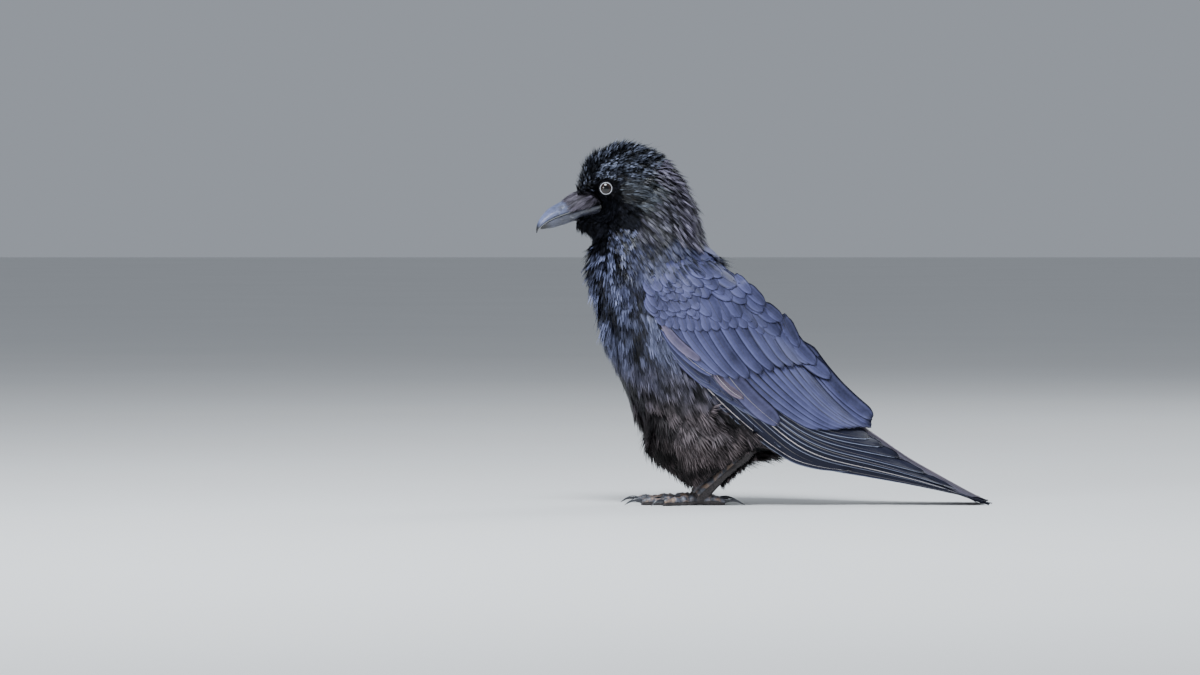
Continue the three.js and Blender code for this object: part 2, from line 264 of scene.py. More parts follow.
studio = {
    "floorSize": 40.0,
    "floorColor": (0.74, 0.74, 0.73),
    "floorWorn": (0.69, 0.69, 0.68),
    "floorGrain": 2.0,
    "floorRough": 0.8,
    "worldColor": (0.82, 0.89, 1.0),
    "worldStrength": 0.38,
    "lightsAt": (20, 0, 140),  # where the lights point, on the bird
    "lights": (
        # name, place in metres, size, watts, colour
        ("skyPanel", (-0.4, -1.0, 2.1), 0.9, 92, (0.87, 0.93, 1.0)),
        ("frontPanel", (-2.2, -2.4, 0.9), 1.0, 36, (0.96, 0.97, 1.0)),
        ("rearPanel", (1.4, 1.8, 1.8), 1.2, 24, (0.90, 0.95, 1.0)),
    ),
}


def makeStudio():
    world = bpy.data.worlds.new("studio")
    world.use_nodes = True
    back = world.node_tree.nodes["Background"]
    back.inputs["Color"].default_value = (*studio["worldColor"], 1.0)
    back.inputs["Strength"].default_value = studio["worldStrength"]
    bpy.context.scene.world = world
    for name, spot, size, watts, color in studio["lights"]:
        light = bpy.data.lights.new(name, "AREA")
        light.size = size
        light.energy = watts
        light.color = color
        aimed(name, light, spot, inFrame(*studio["lightsAt"]) - Vector(spot))
    half = studio["floorSize"] / 2
    corners = [(-half, -half, 0), (half, -half, 0), (half, half, 0), (-half, half, 0)]
    addObject("floor", meshFrom("floor", corners, [(0, 1, 2, 3)]), floorPaint())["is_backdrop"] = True


# Node trees: a wire that Python's own operators work on, and one method for any other node


class Wire:
    def __init__(self, graph, socket):
        self.graph = graph
        self.socket = socket

    def math(self, operation, *others):
        return self.graph.node("ShaderNodeMath", {"operation": operation}, self, *others)

    def __add__(self, other):
        return self.math("ADD", other)

    __radd__ = __add__

    def __sub__(self, other):
        return self.math("SUBTRACT", other)

    def __rsub__(self, other):
        return self.graph.node("ShaderNodeMath", {"operation": "SUBTRACT"}, other, self)

    def __mul__(self, other):
        return self.math("MULTIPLY", other)

    __rmul__ = __mul__

    def __pow__(self, other):
        return self.math("POWER", other)

    def clamped(self):
        return self.math("MINIMUM", 1.0).math("MAXIMUM", 0.0)

    def ramp(self, low, high):
        kind = {"interpolation_type": "SMOOTHSTEP"}
        return self.graph.node("ShaderNodeMapRange", kind, self, low, high, 0.0, 1.0)


class Graph:
    def __init__(self, tree):
        self.tree = tree

    def node(self, kind, settings=None, *values, output=0, named=None):
        made = self.tree.nodes.new(kind)
        for key, value in (settings or {}).items():
            setattr(made, key, value)
        for socket, value in zip(made.inputs, values):
            self.feed(socket, value)
        for key, value in (named or {}).items():
            self.feed(made.inputs[key], value)
        return Wire(self, made.outputs[output])

    def feed(self, socket, value):
        if isinstance(value, Wire):
            self.tree.links.new(value.socket, socket)
        elif value is not None:
            socket.default_value = (*value, 1.0) if socket.type == "RGBA" else value


class Shade(Graph):
    def __init__(self, name):
        self.material = bpy.data.materials.new(name)
        self.material.use_nodes = True
        super().__init__(self.material.node_tree)
        self.surface = self.tree.nodes["Principled BSDF"]

    def set(self, values):
        for key, value in values.items():
            self.feed(self.surface.inputs[key], value)
        return self.material

    def mix(self, share, first, second):
        named = {0: share, 6: first, 7: second}
        return self.node("ShaderNodeMix", {"data_type": "RGBA"}, output=2, named=named)

    def spots(self, stretch=None):
        spots = self.node("ShaderNodeTexCoord", output="Object")
        if stretch:
            spots = self.node("ShaderNodeMapping", None, spots, None, None, stretch)
        return spots

    def axis(self, spots, number):
        return self.node("ShaderNodeSeparateXYZ", None, spots, output=number)

    def noise(self, scale, detail=3.0, stretch=None):
        named = {"Vector": self.spots(stretch), "Scale": scale, "Detail": detail}
        return self.node("ShaderNodeTexNoise", named=named)

    def value(self, name):
        return self.node("ShaderNodeAttribute", {"attribute_name": name}, output="Fac")

    def uv(self, name):
        spots = self.node("ShaderNodeUVMap", {"uv_map": name})
        return self.axis(spots, 0), self.axis(spots, 1)

    def bump(self, height, strength, distance=0.0002):
        named = {"Strength": strength, "Distance": distance, "Height": height}
        return self.node("ShaderNodeBump", named=named)


def floorPaint():
    shade = Shade("floorPaint")
    grain = shade.noise(studio["floorGrain"], 2.0)
    color = shade.mix(grain, studio["floorColor"], studio["floorWorn"])
    return shade.set({"Base Color": color, "Roughness": studio["floorRough"]})


# The coat's map. Each row is a place on the bird's side: the feathers there, their length, the
# heading of their tips in degrees, with 0 towards the tail and -90 straight down, and how many
# degrees they stand up from the skin.

coatMap = (
    ("face", -96, 236, 3.6, 5, 12),
    ("face", -84, 238, 4.0, -15, 9),
    ("face", -76, 253, 3.8, 0, 12),
    ("face", -66, 233, 5.5, -45, 12),
    ("face", -84, 224, 4.6, -55, 14),
    ("face", -86, 214, 9.0, -72, 30),
    ("face", -98, 224, 8.0, -50, 36),
    ("crown", -99, 256, 6.5, 66, 30),
    ("crown", -89, 272, 8.5, 48, 34),
    ("crown", -67, 286, 9.0, 20, 30),
    ("crown", -46, 281, 10.5, -16, 28),
    ("crown", -76, 266, 5.5, 8, 24),
    ("crown", -58, 268, 7.5, -4, 24),
    ("ear", -56, 251, 8.5, 0, 8),
    ("ear", -45, 248, 9.5, -22, 9),
    ("nape", -28, 268, 14.0, -40, 24),
    ("nape", -17, 246, 17.0, -60, 22),
    ("nape", -10, 224, 18.0, -68, 17),
    ("side", -34, 238, 16.0, -44, 12),
    ("side", -42, 224, 16.0, -50, 12),
    ("throat", -85, 198, 15.0, -86, 25),
    ("throat", -84, 178, 15.0, -84, 18),
    ("throat", -70, 192, 14.0, -70, 14),
    ("throat", -64, 213, 10.0, -58, 14),
    ("throat", -78, 158, 16.0, -78, 15),
    ("neck", -48, 204, 14.0, -60, 11),
    ("neck", -24, 204, 15.0, -66, 11),
    ("neck", -46, 180, 16.0, -68, 11),
    ("mantle", 2, 206, 19.0, -58, 17),
    ("mantle", 18, 189, 20.0, -50, 10),
    ("mantle", 36, 166, 21.0, -48, 11),
    ("mantle", 58, 138, 22.0, -47, 11),
    ("neck", -16, 190, 19.0, -60, 24),
    ("neck", 4, 196, 21.0, -56, 24),
    ("breast", -68, 136, 17.0, -75, 13),
    ("breast", -46, 152, 17.0, -70, 11),
    ("breast", -58, 106, 18.0, -70, 13),
    ("breast", -25, 122, 18.0, -66, 11),
    ("breast", -30, 88, 19.0, -66, 12),
    ("breast", 2, 110, 18.0, -60, 11),
    ("breast", 32, 90, 18.0, -54, 10),
    ("belly", -38, 62, 21.0, -62, 16),
    ("belly", -8, 48, 21.0, -60, 18),
    ("belly", 22, 50, 21.0, -46, 17),
    ("belly", 55, 48, 20.0, -32, 16),
    ("belly", 84, 56, 20.0, -30, 14),
    ("rump", 84, 106, 22.0, -44, 9),
    ("rump", 104, 84, 22.0, -44, 7),
    ("thigh", -22, 46, 16.0, -60, 14),
    ("thigh", 2, 32, 14.0, -58, 15),
)

coats = {
    # the feather's shape, the distance between roots in mm, and its random turn in degrees
    "face": ("bristle", 0.75, 11),
    "crown": ("spike", 1.05, 9),
    "ear": ("streamer", 0.75, 3),
    "nape": ("streamer", 1.0, 4),
    "throat": ("hackle", 1.6, 9),
    "neck": ("streamer", 1.1, 5),
    "breast": ("streamer", 1.15, 6),
    "belly": ("loose", 1.25, 14),
    "thigh": ("loose", 1.05, 14),
    "mantle": ("vane", 2.1, 4),
    "rump": ("vane", 2.3, 5),
    "side": ("streamer", 1.0, 4),
}

skin = {
    "voxel": 0.95,
    "merged": 0.02,
    "swell": 0.5,  # grown by this, so that the nodes run into one another
    "smoothing": 4,
    "kept": 0.36,  # share of the triangles that stays
    "fineness": 0.6,  # how much more of them stays on the feet and face
    "blur": 12,  # rounds of smoothing between one depth and the next
    "least": 0.05,  # above the floor
    "wingCut": 46,  # the wings' flesh ends here
    "billCut": -91,
    "depths": {
        "head": 2.0,
        "neck": 3.2,
        "trunk": 3.8,
        "thigh": 3.0,
        "wing": 4.2,
        "tarsus": 0.15,
        "toe": 0.1,
        "eye": 2.6,
        "bill": 2.0,
        "tail": 3.8,
    },
}


def fleshNodes():
    names = ["head", "neck", "trunk"]
    for side in sides:
        names += [f"thigh_{side}", f"tarsus_{side}"]
        names += [f"toe_{toe}_{side}" for toe in toes]
    return names


def mergedCopy(name):
    copy = bmesh.new()
    copy.from_mesh(frame["nodes"][name].data)
    bmesh.ops.remove_doubles(copy, verts=copy.verts, dist=skin["merged"] * mm)
    return copy


def cutAt(copy, x, ahead):
    everything = copy.verts[:] + copy.edges[:] + copy.faces[:]
    spot = inFrame(x, 0, 0)
    way = Vector((ahead, 0, 0))
    bmesh.ops.bisect_plane(copy, geom=everything, plane_co=spot, plane_no=way, clear_outer=True)
    bmesh.ops.holes_fill(copy, edges=[edge for edge in copy.edges if edge.is_boundary])
    bmesh.ops.recalc_face_normals(copy, faces=copy.faces)


def swollenFlesh():
    parts = {name: None for name in fleshNodes()}
    for side in sides:
        parts[f"eye_{side}"] = None
        parts[f"wing_{side}"] = (skin["wingCut"], 1)
    parts["bill_upper"] = (skin["billCut"], -1)
    parts["bill_lower"] = (skin["billCut"], -1)
    together = bmesh.new()
    for name, cut in parts.items():
        copy = mergedCopy(name)
        if cut:
            cutAt(copy, *cut)
        copy.normal_update()
        for vert in copy.verts:
            vert.co += vert.normal * skin["swell"] * mm
        held = bpy.data.meshes.new("held")
        copy.to_mesh(held)
        copy.free()
        together.from_mesh(held)
        bpy.data.meshes.remove(held)
    mesh = bpy.data.meshes.new("flesh")
    together.to_mesh(mesh)
    together.free()
    return mesh


def nodeFinder():
    names = [name for name in frame["nodes"] if not name.startswith("claw")]
    owners = [name.split("_")[0] for name in names for _ in frame["nodes"][name].data.polygons]
    tree = treeOf(names)
    return lambda spot: owners[tree.find_nearest(Vector(spot))[2]]


def blurred(values, edges, rounds):
    count = np.maximum(np.bincount(edges.ravel(), minlength=len(values)), 1)
    for _ in range(rounds):
        total = np.bincount(edges[:, 0], values[edges[:, 1]], len(values))
        total += np.bincount(edges[:, 1], values[edges[:, 0]], len(values))
        values = (values + total / count) / 2
    return values


fine = {
    # where the skin shows between small feathers, it keeps more triangles: 1 for all of them
    "feet": (34, 20),  # heights
    "face": (34, 22),  # distances from a place between the eye and the bill
    "faceAt": (-82, 242),
    "head": (185, 205),
    "headShare": 0.75,
    "steps": 5,
}


def keptFine(x, z):
    feet = smoothStep(*fine["feet"], z)
    face = smoothStep(*fine["face"], np.hypot(x - fine["faceAt"][0], z - fine["faceAt"][1]))
    head = fine["headShare"] * smoothStep(*fine["head"], z)
    return np.maximum(np.maximum(feet, face), head)


def makeSkinMesh():
    holder = addObject("flesh", swollenFlesh())
    remesh = holder.modifiers.new("remesh", "REMESH")
    remesh.mode = "VOXEL"
    remesh.voxel_size = skin["voxel"] * mm
    smooth = holder.modifiers.new("smooth", "SMOOTH")
    smooth.iterations = skin["smoothing"]
    holder = addObject("flesh", evaluated(holder))
    x, _, z = toBird(pointsOf(holder.data)).T
    group = holder.vertex_groups.new(name="plain")
    plain = np.round((1 - keptFine(x, z)) * fine["steps"]) / fine["steps"]
    for share in np.unique(plain[plain > 0]):
        group.add(np.nonzero(plain == share)[0].tolist(), float(share), "REPLACE")
    thin = holder.modifiers.new("thin", "DECIMATE")
    thin.ratio = skin["kept"]
    thin.vertex_group = "plain"
    thin.vertex_group_factor = skin["fineness"]
    return evaluated(holder)


gape = {"line": ((-110, 235), (-87, 239)), "reach": 8.0, "half": 3.2, "slope": 1.5, "bare": -1.2}


def fromBill(x, z):
    # how far a place on the side lies outside the bare base of the bill
    _, gapX, gapZ = fromLine(x, z, *gape["line"])
    return np.hypot(gapX, gapZ) - gape["reach"]


def makeSkin():
    mesh = makeSkinMesh()
    mesh.name = "skin"
    points = pointsOf(mesh)
    owner = nodeFinder()
    owners = np.array([owner(p) for p in points])
    depth = np.array([skin["depths"][kind] for kind in owners])
    depth = blurred(depth, edgesOf(mesh), skin["blur"]) + skin["swell"]
    moved = points - normalsOf(mesh) * depth[:, None] * mm
    moved[:, 2] = np.maximum(moved[:, 2], skin["least"] * mm)
    # the face narrows to the bill's sides
    x, _, z = toBird(moved).T
    limit = (gape["half"] + gape["slope"] * np.maximum(fromBill(x, z), 0)) * mm
    moved[:, 1] = np.clip(moved[:, 1], -limit, limit)
    mesh.vertices.foreach_set("co", np.asarray(moved, np.float32).ravel())
    mesh.update()
    smoothed(mesh)
    return mesh, owners


spine = ((-96, 238), (-66, 246), (-45, 215), (-28, 165), (0, 125), (45, 90), (110, 55))


def unwrapSkin(mesh):
    # round the body from the belly to the back, and along it from the bill to the tail
    x, y, z = toBird(pointsOf(mesh)).T
    best = np.full(len(x), 1e9)
    along = np.zeros(len(x))
    turn = np.zeros(len(x))
    walked = 0.0
    for start, end in zip(spine[:-1], spine[1:]):
        share, gapX, gapZ = fromLine(x, z, start, end)
        runX, runZ = end[0] - start[0], end[1] - start[1]
        length = math.hypot(runX, runZ)
        gap = gapX * gapX + gapZ * gapZ
        nearer = gap < best
        best = np.where(nearer, gap, best)
        along = np.where(nearer, walked + share * length, along)
        turn = np.where(nearer, np.arctan2(y, (gapZ * runX - gapX * runZ) / length), turn)
        walked += length
    return np.stack((0.5 + turn / (2 * np.pi), along / walked), 1)


streaks = {"near": 8, "steps": 12, "stride": 0.07, "seed": 17}


def streakField(mesh, lie, length):
    # random tones drawn out along the lie of the feathers, from 0 to 1
    points = pointsOf(mesh)
    count = len(points)
    pairs = edgesOf(mesh)
    pairs = np.concatenate((pairs, pairs[:, ::-1]))
    pairs = pairs[np.argsort(pairs[:, 0], kind="stable")]
    rank = np.arange(len(pairs)) - np.searchsorted(pairs[:, 0], np.arange(count))[pairs[:, 0]]
    near = np.tile(np.arange(count)[:, None], (1, streaks["near"] + 1))
    kept = rank < streaks["near"]
    near[pairs[kept, 0], rank[kept] + 1] = pairs[kept, 1]
    noise = np.random.default_rng(streaks["seed"]).uniform(0, 1, count)
    total = noise.copy()
    stride = (length * mm * streaks["stride"])[:, None]
    for way in (-1, 1):
        here = np.arange(count)
        for step in range(1, streaks["steps"] + 1):
            goal = points + lie * stride * (step * way)
            apart = np.linalg.norm(points[near[here]] - goal[:, None], axis=2)
            here = near[here, apart.argmin(1)]
            total += noise[here]
    share = np.empty(count)
    share[np.argsort(total)] = np.arange(count) / count
    return share


coatShape = {
    "blend": 30,  # how softly one row of the map runs into the next, in square mm
    "seed": 5,
    "ragged": (1.0, 5.0),  # how far the kinds run into one another, on head and body
    "raggedFrom": (205, 160),
    "eyeFrom": 1,  # round the lids the feathers point away from the eye, and are shorter
    "eyeTo": 5,
    "eyeTurn": 1.6,
    "eyeShorter": 0.45,
    "eyeBare": 0.3,
    "thighTop": 60,
    "outerLeast": 0.01,
}
shank = {
    "line": ((-6.0, 8.0), (42.0, 44.0)),
    "reach": 2.0,  # the belly's feathers end this far from it, on the body's outer part
    "least": 3.5,
    "inner": (9.0, 15.0),
}
fringe = {
    "from": 17.0,  # heights
    "to": 42.0,
    "rear": (0.7, 0, -0.7),
    "facing": 0.62,
    "length": 6.5,
    "stand": 40.0,
    "lie": (0.35, 0, -1.0),
}


def coatField(mesh, owners):
    # the length, lie, standing angle and kind of the feathers at every point of the skin
    x, y, z = toBird(pointsOf(mesh)).T
    normals = normalsOf(mesh)
    names = np.array([row[0] for row in coatMap])
    placeX, placeZ, lengths, headings, stands = np.array([row[1:] for row in coatMap], float).T
    apart = (x[:, None] - placeX) ** 2 + (z[:, None] - placeZ) ** 2
    weight = 1 / (apart + coatShape["blend"]) ** 2
    weight /= weight.sum(1, keepdims=True)
    length = weight @ lengths
    stand = weight @ stands
    headings = np.radians(headings)
    lie = np.stack((weight @ np.cos(headings), 0 * x, weight @ np.sin(headings)), 1)
    fromEye = np.stack((x - eye["x"], 0 * x, z - eye["z"]), 1)
    reach = np.linalg.norm(fromEye, axis=1) - eye["rim"]
    near = 1 - smoothStep(coatShape["eyeFrom"], coatShape["eyeTo"], reach)
    lie += unit(fromEye) * (coatShape["eyeTurn"] * near)[:, None]
    length *= 1 - coatShape["eyeShorter"] * near
    # short where they would hang over the shanks
    _, gapX, gapZ = fromLine(x, z, *shank["line"])
    outer = smoothStep(*shank["inner"], np.abs(y))
    room = np.maximum(np.hypot(gapX, gapZ) - shank["reach"], shank["least"])
    shorter = length + (np.minimum(length, room) - length) * outer
    length = np.where(outer > coatShape["outerLeast"], shorter, length)
    lie = flatOn(normals, lie)
    # the kind is that of the nearest row, with a ragged border
    rng = np.random.default_rng(coatShape["seed"])
    head, body = coatShape["ragged"]
    ragged = head + (body - head) * smoothStep(*coatShape["raggedFrom"], z)
    shaken = np.sqrt(apart) + rng.normal(0, 1, apart.shape) * ragged[:, None]
    onThigh = owners == "thigh"
    shaken[:, names == "thigh"] += np.where(onThigh, 0, 1e6)[:, None]
    kinds = names[shaken.argmin(1)]
    kinds = np.where(onThigh & (z < coatShape["thighTop"]), "thigh", kinds)
    bare = np.isin(owners, ("tarsus", "toe", "bill")) | (reach < coatShape["eyeBare"])
    bare |= fromBill(x, z) < gape["bare"]
    # a few hang from the back of the shank
    hanging = (owners == "tarsus") & (normals @ np.array(fringe["rear"]) > fringe["facing"])
    hanging &= (z > fringe["from"]) & (z < fringe["to"])
    lie[hanging] = flatOn(normals, np.array(fringe["lie"]))[hanging]
    length = np.where(hanging, fringe["length"], length)
    stand = np.where(hanging, fringe["stand"], stand)
    kinds = np.where(hanging, "thigh", kinds)
    return length, lie, stand, kinds, bare & ~hanging


# One feather of each kind, lying along +y with its root at the origin and a length of 1. Its
# map "vane" runs across and along it.


class Blades:
    def __init__(self):
        self.points = []
        self.faces = []
        self.vane = []
        self.strand = []

    def strip(self, line, halves, across, tone):
        # a ribbon along the line that ends in a point
        start = len(self.points)
        last = len(line) - 1
        for i in range(last):
            ahead = line[i + 1] - line[max(i - 1, 0)]
            side = ahead.cross(Vector((0, 0, 1))).normalized() * halves[i]
            self.points += [line[i] - side, line[i] + side]
            self.vane += [(across[0], i / last), (across[1], i / last)]
        self.points.append(line[last])
        self.vane.append(((across[0] + across[1]) / 2, 1))
        self.faces += [(a, a + 1, a + 3, a + 2) for a in range(start, start + 2 * last - 2, 2)]
        a = start + 2 * last - 2
        self.faces.append((a, a + 1, a + 2))
        self.strand += [tone] * (len(self.points) - start)

    def mesh(self, name):
        made = meshFrom(name, self.points, self.faces)
        storeData(made, "vane", np.array(self.vane)[cornerPoints(made)], "FLOAT2", "CORNER")
        storeData(made, "strand", self.strand)
        return made


blades = {
    # strands in a tuft, half width at the widest, spread in degrees, rise, droop, steps, foot
    "bristle": (4, 0.085, 14, 0.10, 0.10, 3, 0.10),
    "spike": (3, 0.095, 11, 0.16, 0.06, 3, 0.09),
    "streamer": (3, 0.036, 3, 0.11, 0.14, 4, 0.03),
    "hackle": (2, 0.076, 6, 0.16, 0.12, 4, 0.07),
    "loose": (5, 0.034, 13, 0.14, 0.12, 4, 0.07),
    "nasal": (3, 0.022, 5, 0.02, 0.04, 4, 0.04),
}
tapers = {3: (0.6, 1.0, 0.55, 0), 4: (0.5, 1.0, 0.85, 0.45, 0)}  # a strand's width, by its steps
strandShape = {
    "turn": 3,  # at random, in degrees
    "reach": (0.72, 1.0),
    "shorter": 0.14,  # the outer ones
    "climb": (0.6, 1.4),
    "width": (0.85, 1.2),
}


def tuftMesh(kind, seed):
    count, widest, fan, rise, droop, steps, foot = blades[kind]
    rng = random.Random(seed)
    tuft = Blades()
    for i in range(count):
        tone = rng.uniform(0, 1)
        place = (i + 0.5) / count * 2 - 1
        yaw = math.radians(place * fan + rng.uniform(-1, 1) * strandShape["turn"])
        reach = rng.uniform(*strandShape["reach"]) - strandShape["shorter"] * abs(place)
        climb = rise * rng.uniform(*strandShape["climb"])
        line = []  # it leaves the root at an angle and bends back down to the coat
        for step in range(steps + 1):
            along = step / steps * reach
            height = climb * along - droop * along * along
            line.append(Vector((place * foot + math.sin(yaw) * along, math.cos(yaw) * along, height)))
        halves = [widest * share * rng.uniform(*strandShape["width"]) for share in tapers[steps]]
        tuft.strip(line, halves, (i / count, (i + 1) / count), tone)
    return tuft.mesh(f"{kind}{seed}")


vaneShape = {
    "half": 0.36,
    "reach": 0.9,
    "sweep": 0.13,  # how far the sides trail behind the middle
    "rows": 6,
    "columns": 4,
    "cup": 0.10,
    "rise": 0.10,
    "droop": 0.14,
    "barbs": 16,  # loose ones past the rim
    "barbWidths": (0.026, 0.019),
    "barbSizes": (0.09, 0.17),
    "barbFan": 26,
    "barbTurn": 8,
    "barbTones": (0.35, 0.65),
    "wobble": 0.015,
}


def vaneWidth(along):
    # a rounded body feather: narrow at the root, full in the middle, blunt at the tip
    return math.sin(math.pi * min(along * 0.9 + 0.08, 1.0) ** 0.75) ** 0.6


def vaneMesh(kind, seed):
    rng = random.Random(seed)
    shape = vaneShape
    body = Blades()

    def heightAt(y, cup):
        return shape["rise"] * y - shape["droop"] * y * y - shape["cup"] * cup

    for i in range(shape["rows"] + 1):
        along = i / shape["rows"]
        half = shape["half"] * max(vaneWidth(along * 0.93), 0.1)
        for k in range(shape["columns"] + 1):
            across = k / shape["columns"] * 2 - 1
            y = shape["reach"] * along - shape["sweep"] * across * across * along
            wobble = rng.uniform(-1, 1) * shape["wobble"] * along
            z = heightAt(y, (across * half / shape["half"]) ** 2 * 0.7)
            body.points.append(Vector((across * half + wobble, y, z)))
            body.vane.append((k / shape["columns"], along * 0.95))
            body.strand.append(0.5)
    body.faces += gridFaces(shape["rows"], shape["columns"])
    half = shape["half"] * vaneWidth(0.8)
    for i in range(shape["barbs"]):
        tone = rng.uniform(*shape["barbTones"])
        place = (i + 0.5) / shape["barbs"] * 2 - 1
        foot = shape["reach"] * 0.86 - 0.1 * place * place
        start = Vector((place * half * 0.9, foot, heightAt(foot, place * place * 0.4)))
        yaw = math.radians(place * shape["barbFan"] + rng.uniform(-1, 1) * shape["barbTurn"])
        size = rng.uniform(*shape["barbSizes"])
        run = Vector((math.sin(yaw), math.cos(yaw), -0.08)) * size
        line = [start, start + run / 2, start + run]
        body.strip(line, shape["barbWidths"], (0.5 + place * 0.45, 0.5 + place * 0.5), tone)
    return body.mesh(f"{kind}{seed}")


variants = 4  # of each kind of feather


def bladeVariants(kind):
    make = vaneMesh if kind == "vane" else tuftMesh
    held = bpy.data.collections.new(kind + "Feathers")
    for seed in range(variants):
        held.objects.link(bpy.data.objects.new(f"{kind}{seed}", make(kind, seed)))
    return held


# The tree that plants one kind of feather over the skin


class Plan(Graph):
    def __init__(self, name):
        super().__init__(bpy.data.node_groups.new(name, "GeometryNodeTree"))
        self.entry = self.tree.nodes.new("NodeGroupInput")
        self.exit = self.tree.nodes.new("NodeGroupOutput")
        self.keys = {}

    def addInput(self, name, kind, value=None):
        made = self.tree.interface.new_socket(name, in_out="INPUT", socket_type="NodeSocket" + kind)
        if value is not None:
            made.default_value = value
        self.keys[name] = made.identifier
        return Wire(self, self.entry.outputs[name])

    def finish(self, wire):
        self.tree.interface.new_socket("Geometry", in_out="OUTPUT", socket_type="NodeSocketGeometry")
        self.tree.links.new(wire.socket, self.exit.inputs[0])

    def stored(self, name, kind="FLOAT"):
        return self.node("GeometryNodeInputNamedAttribute", {"data_type": kind}, name)

    def chance(self, low, high, seed):
        named = {2: low, 3: high, 8: seed}
        return self.node("FunctionNodeRandomValue", {"data_type": "FLOAT"}, output=1, named=named)


planting = {
    "densest": 1.5e6,  # feathers in a square metre, before their spacing thins them
    "stand": (0.6, 1.4),  # how far each one's angle and size vary
    "size": (0.8, 1.2),
    "roll": 0.16,
    "standByTone": (0.45, 1.1),  # light streaks stand up more and are longer
    "sizeByTone": (0.82, 0.36),
}


def coatPlan():
    plan = Plan("coat")
    surface = plan.addInput("Skin", "Geometry")
    spacing = plan.addInput("Spacing", "Float", 0.003)
    turn = plan.addInput("Turn", "Float", 10.0)
    seed = plan.addInput("Seed", "Int", 1)
    kinds = plan.addInput("Feathers", "Collection")
    finish = plan.addInput("Finish", "Material")

    named = {
        "Mesh": surface,
        "Distance Min": spacing,
        "Density Max": planting["densest"],
        "Density Factor": plan.stored("cover"),
        "Seed": seed,
    }
    poisson = {"distribute_method": "POISSON"}
    roots = plan.node("GeometryNodeDistributePointsOnFaces", poisson, named=named)
    normal = Wire(plan, roots.socket.node.outputs["Normal"])

    axes = {"primary_axis": "Z", "secondary_axis": "Y"}
    lie = plan.stored("lie", "FLOAT_VECTOR")
    facing = plan.node("FunctionNodeAxesToRotation", axes, normal, lie)
    degree = math.radians(1)
    streak = plan.stored("streak")
    least, more = planting["standByTone"]
    stand = plan.stored("stand") * plan.chance(*planting["stand"], seed + 1)
    tip = stand * degree * (least + streak * more)
    roll = plan.chance(-planting["roll"], planting["roll"], seed + 2)
    yaw = turn * degree * plan.chance(-1.0, 1.0, seed + 3)
    angles = plan.node("ShaderNodeCombineXYZ", None, tip, roll, yaw)
    tilt = plan.node("FunctionNodeEulerToRotation", None, angles)
    facing = plan.node("FunctionNodeRotateRotation", {"rotation_space": "LOCAL"}, facing, tilt)
    least, more = planting["sizeByTone"]
    size = plan.stored("size") * plan.chance(*planting["size"], seed + 4) * (least + streak * more)

    named = {4: 0, 5: variants - 1, 8: seed + 5}
    pick = plan.node("FunctionNodeRandomValue", {"data_type": "INT"}, output=2, named=named)
    named = {
        "Points": roots,
        "Instance": plan.node("GeometryNodeCollectionInfo", None, kinds, True, True),
        "Pick Instance": True,
        "Instance Index": pick,
        "Rotation": facing,
        "Scale": size,
    }
    planted = plan.node("GeometryNodeInstanceOnPoints", named=named)
    named = {"Geometry": planted, "Name": "feather", "Value": plan.chance(0.0, 1.0, seed + 6)}
    settings = {"data_type": "FLOAT", "domain": "INSTANCE"}
    planted = plan.node("GeometryNodeStoreNamedAttribute", settings, named=named)
    real = plan.node("GeometryNodeRealizeInstances", None, planted)
    plan.finish(plan.node("GeometryNodeSetMaterial", None, real, True, finish))
    return plan


bakePatch = 0.003  # the size of a feather's place on the map that keeps its colours
bakeMargin = 0.01


def mapForBake(mesh):
    # each feather is a small patch at its root's place on the unwrapped skin
    roots = readData(mesh.attributes["skinMap"].data, "vector", 2).astype(float)
    vane = readData(mesh.attributes["vane"].data, "vector", 2)
    low = roots.min(0)
    room = np.maximum(roots.max(0) - low, 1e-6)
    placed = (roots - low) / room * (1 - 2 * bakeMargin) + bakeMargin
    spots = placed[cornerPoints(mesh)] + (vane - 0.5) * bakePatch
    storeData(mesh, "OFBake", spots, "FLOAT2", "CORNER")


def coverWith(kind, coat, groundMesh, chosen, plan, seed):
    blade, spacing, turn = coat
    ground = groundMesh.copy()
    storeData(ground, "cover", chosen)
    held = bladeVariants(blade)
    holder = addObject(kind + "Ground", ground)
    grow = holder.modifiers.new("coat", "NODES")
    grow.node_group = plan.tree
    values = {
        "Spacing": spacing * mm,
        "Turn": float(turn),
        "Seed": seed,
        "Feathers": held,
        "Finish": plumage(kind),
    }
    for name, value in values.items():
        grow[plan.keys[name]] = value
    mesh = evaluated(holder)
    bpy.data.meshes.remove(ground)
    for feather in list(held.objects):
        bpy.data.objects.remove(feather)
    bpy.data.collections.remove(held)
    mesh.name = kind + "Coat"
    mapForBake(mesh)
    dropData(mesh)
    return mesh


def dropData(mesh):
    # a coat doesn't keep what placed its feathers
    for name in ("skinMap", "cover", "size", "lie", "stand"):
        if name in mesh.attributes:
            mesh.attributes.remove(mesh.attributes[name])


def layGround(mesh, roots, lie, size, stand, streak):
    # what the coat's tree reads from the surface that the feathers stand on
    storeData(mesh, "skinMap", roots[cornerPoints(mesh)], "FLOAT2", "CORNER")
    storeData(mesh, "lie", lie, "FLOAT_VECTOR")
    storeData(mesh, "size", size)
    storeData(mesh, "stand", stand)
    storeData(mesh, "streak", streak)


def makeCoats(skinMesh, owners, plan):
    length, lie, stand, kinds, bare = coatField(skinMesh, owners)
    streak = streakField(skinMesh, lie, length)
    layGround(skinMesh, unwrapSkin(skinMesh), lie, length * mm, stand, streak)
    covered = ~bare & ~underWing(skinMesh, owners)
    made = {}
    for number, (kind, coat) in enumerate(coats.items()):
        made[kind] = coverWith(kind, coat, skinMesh, (kinds == kind) & covered, plan, 10 * number + 3)
    dropData(skinMesh)
    return made


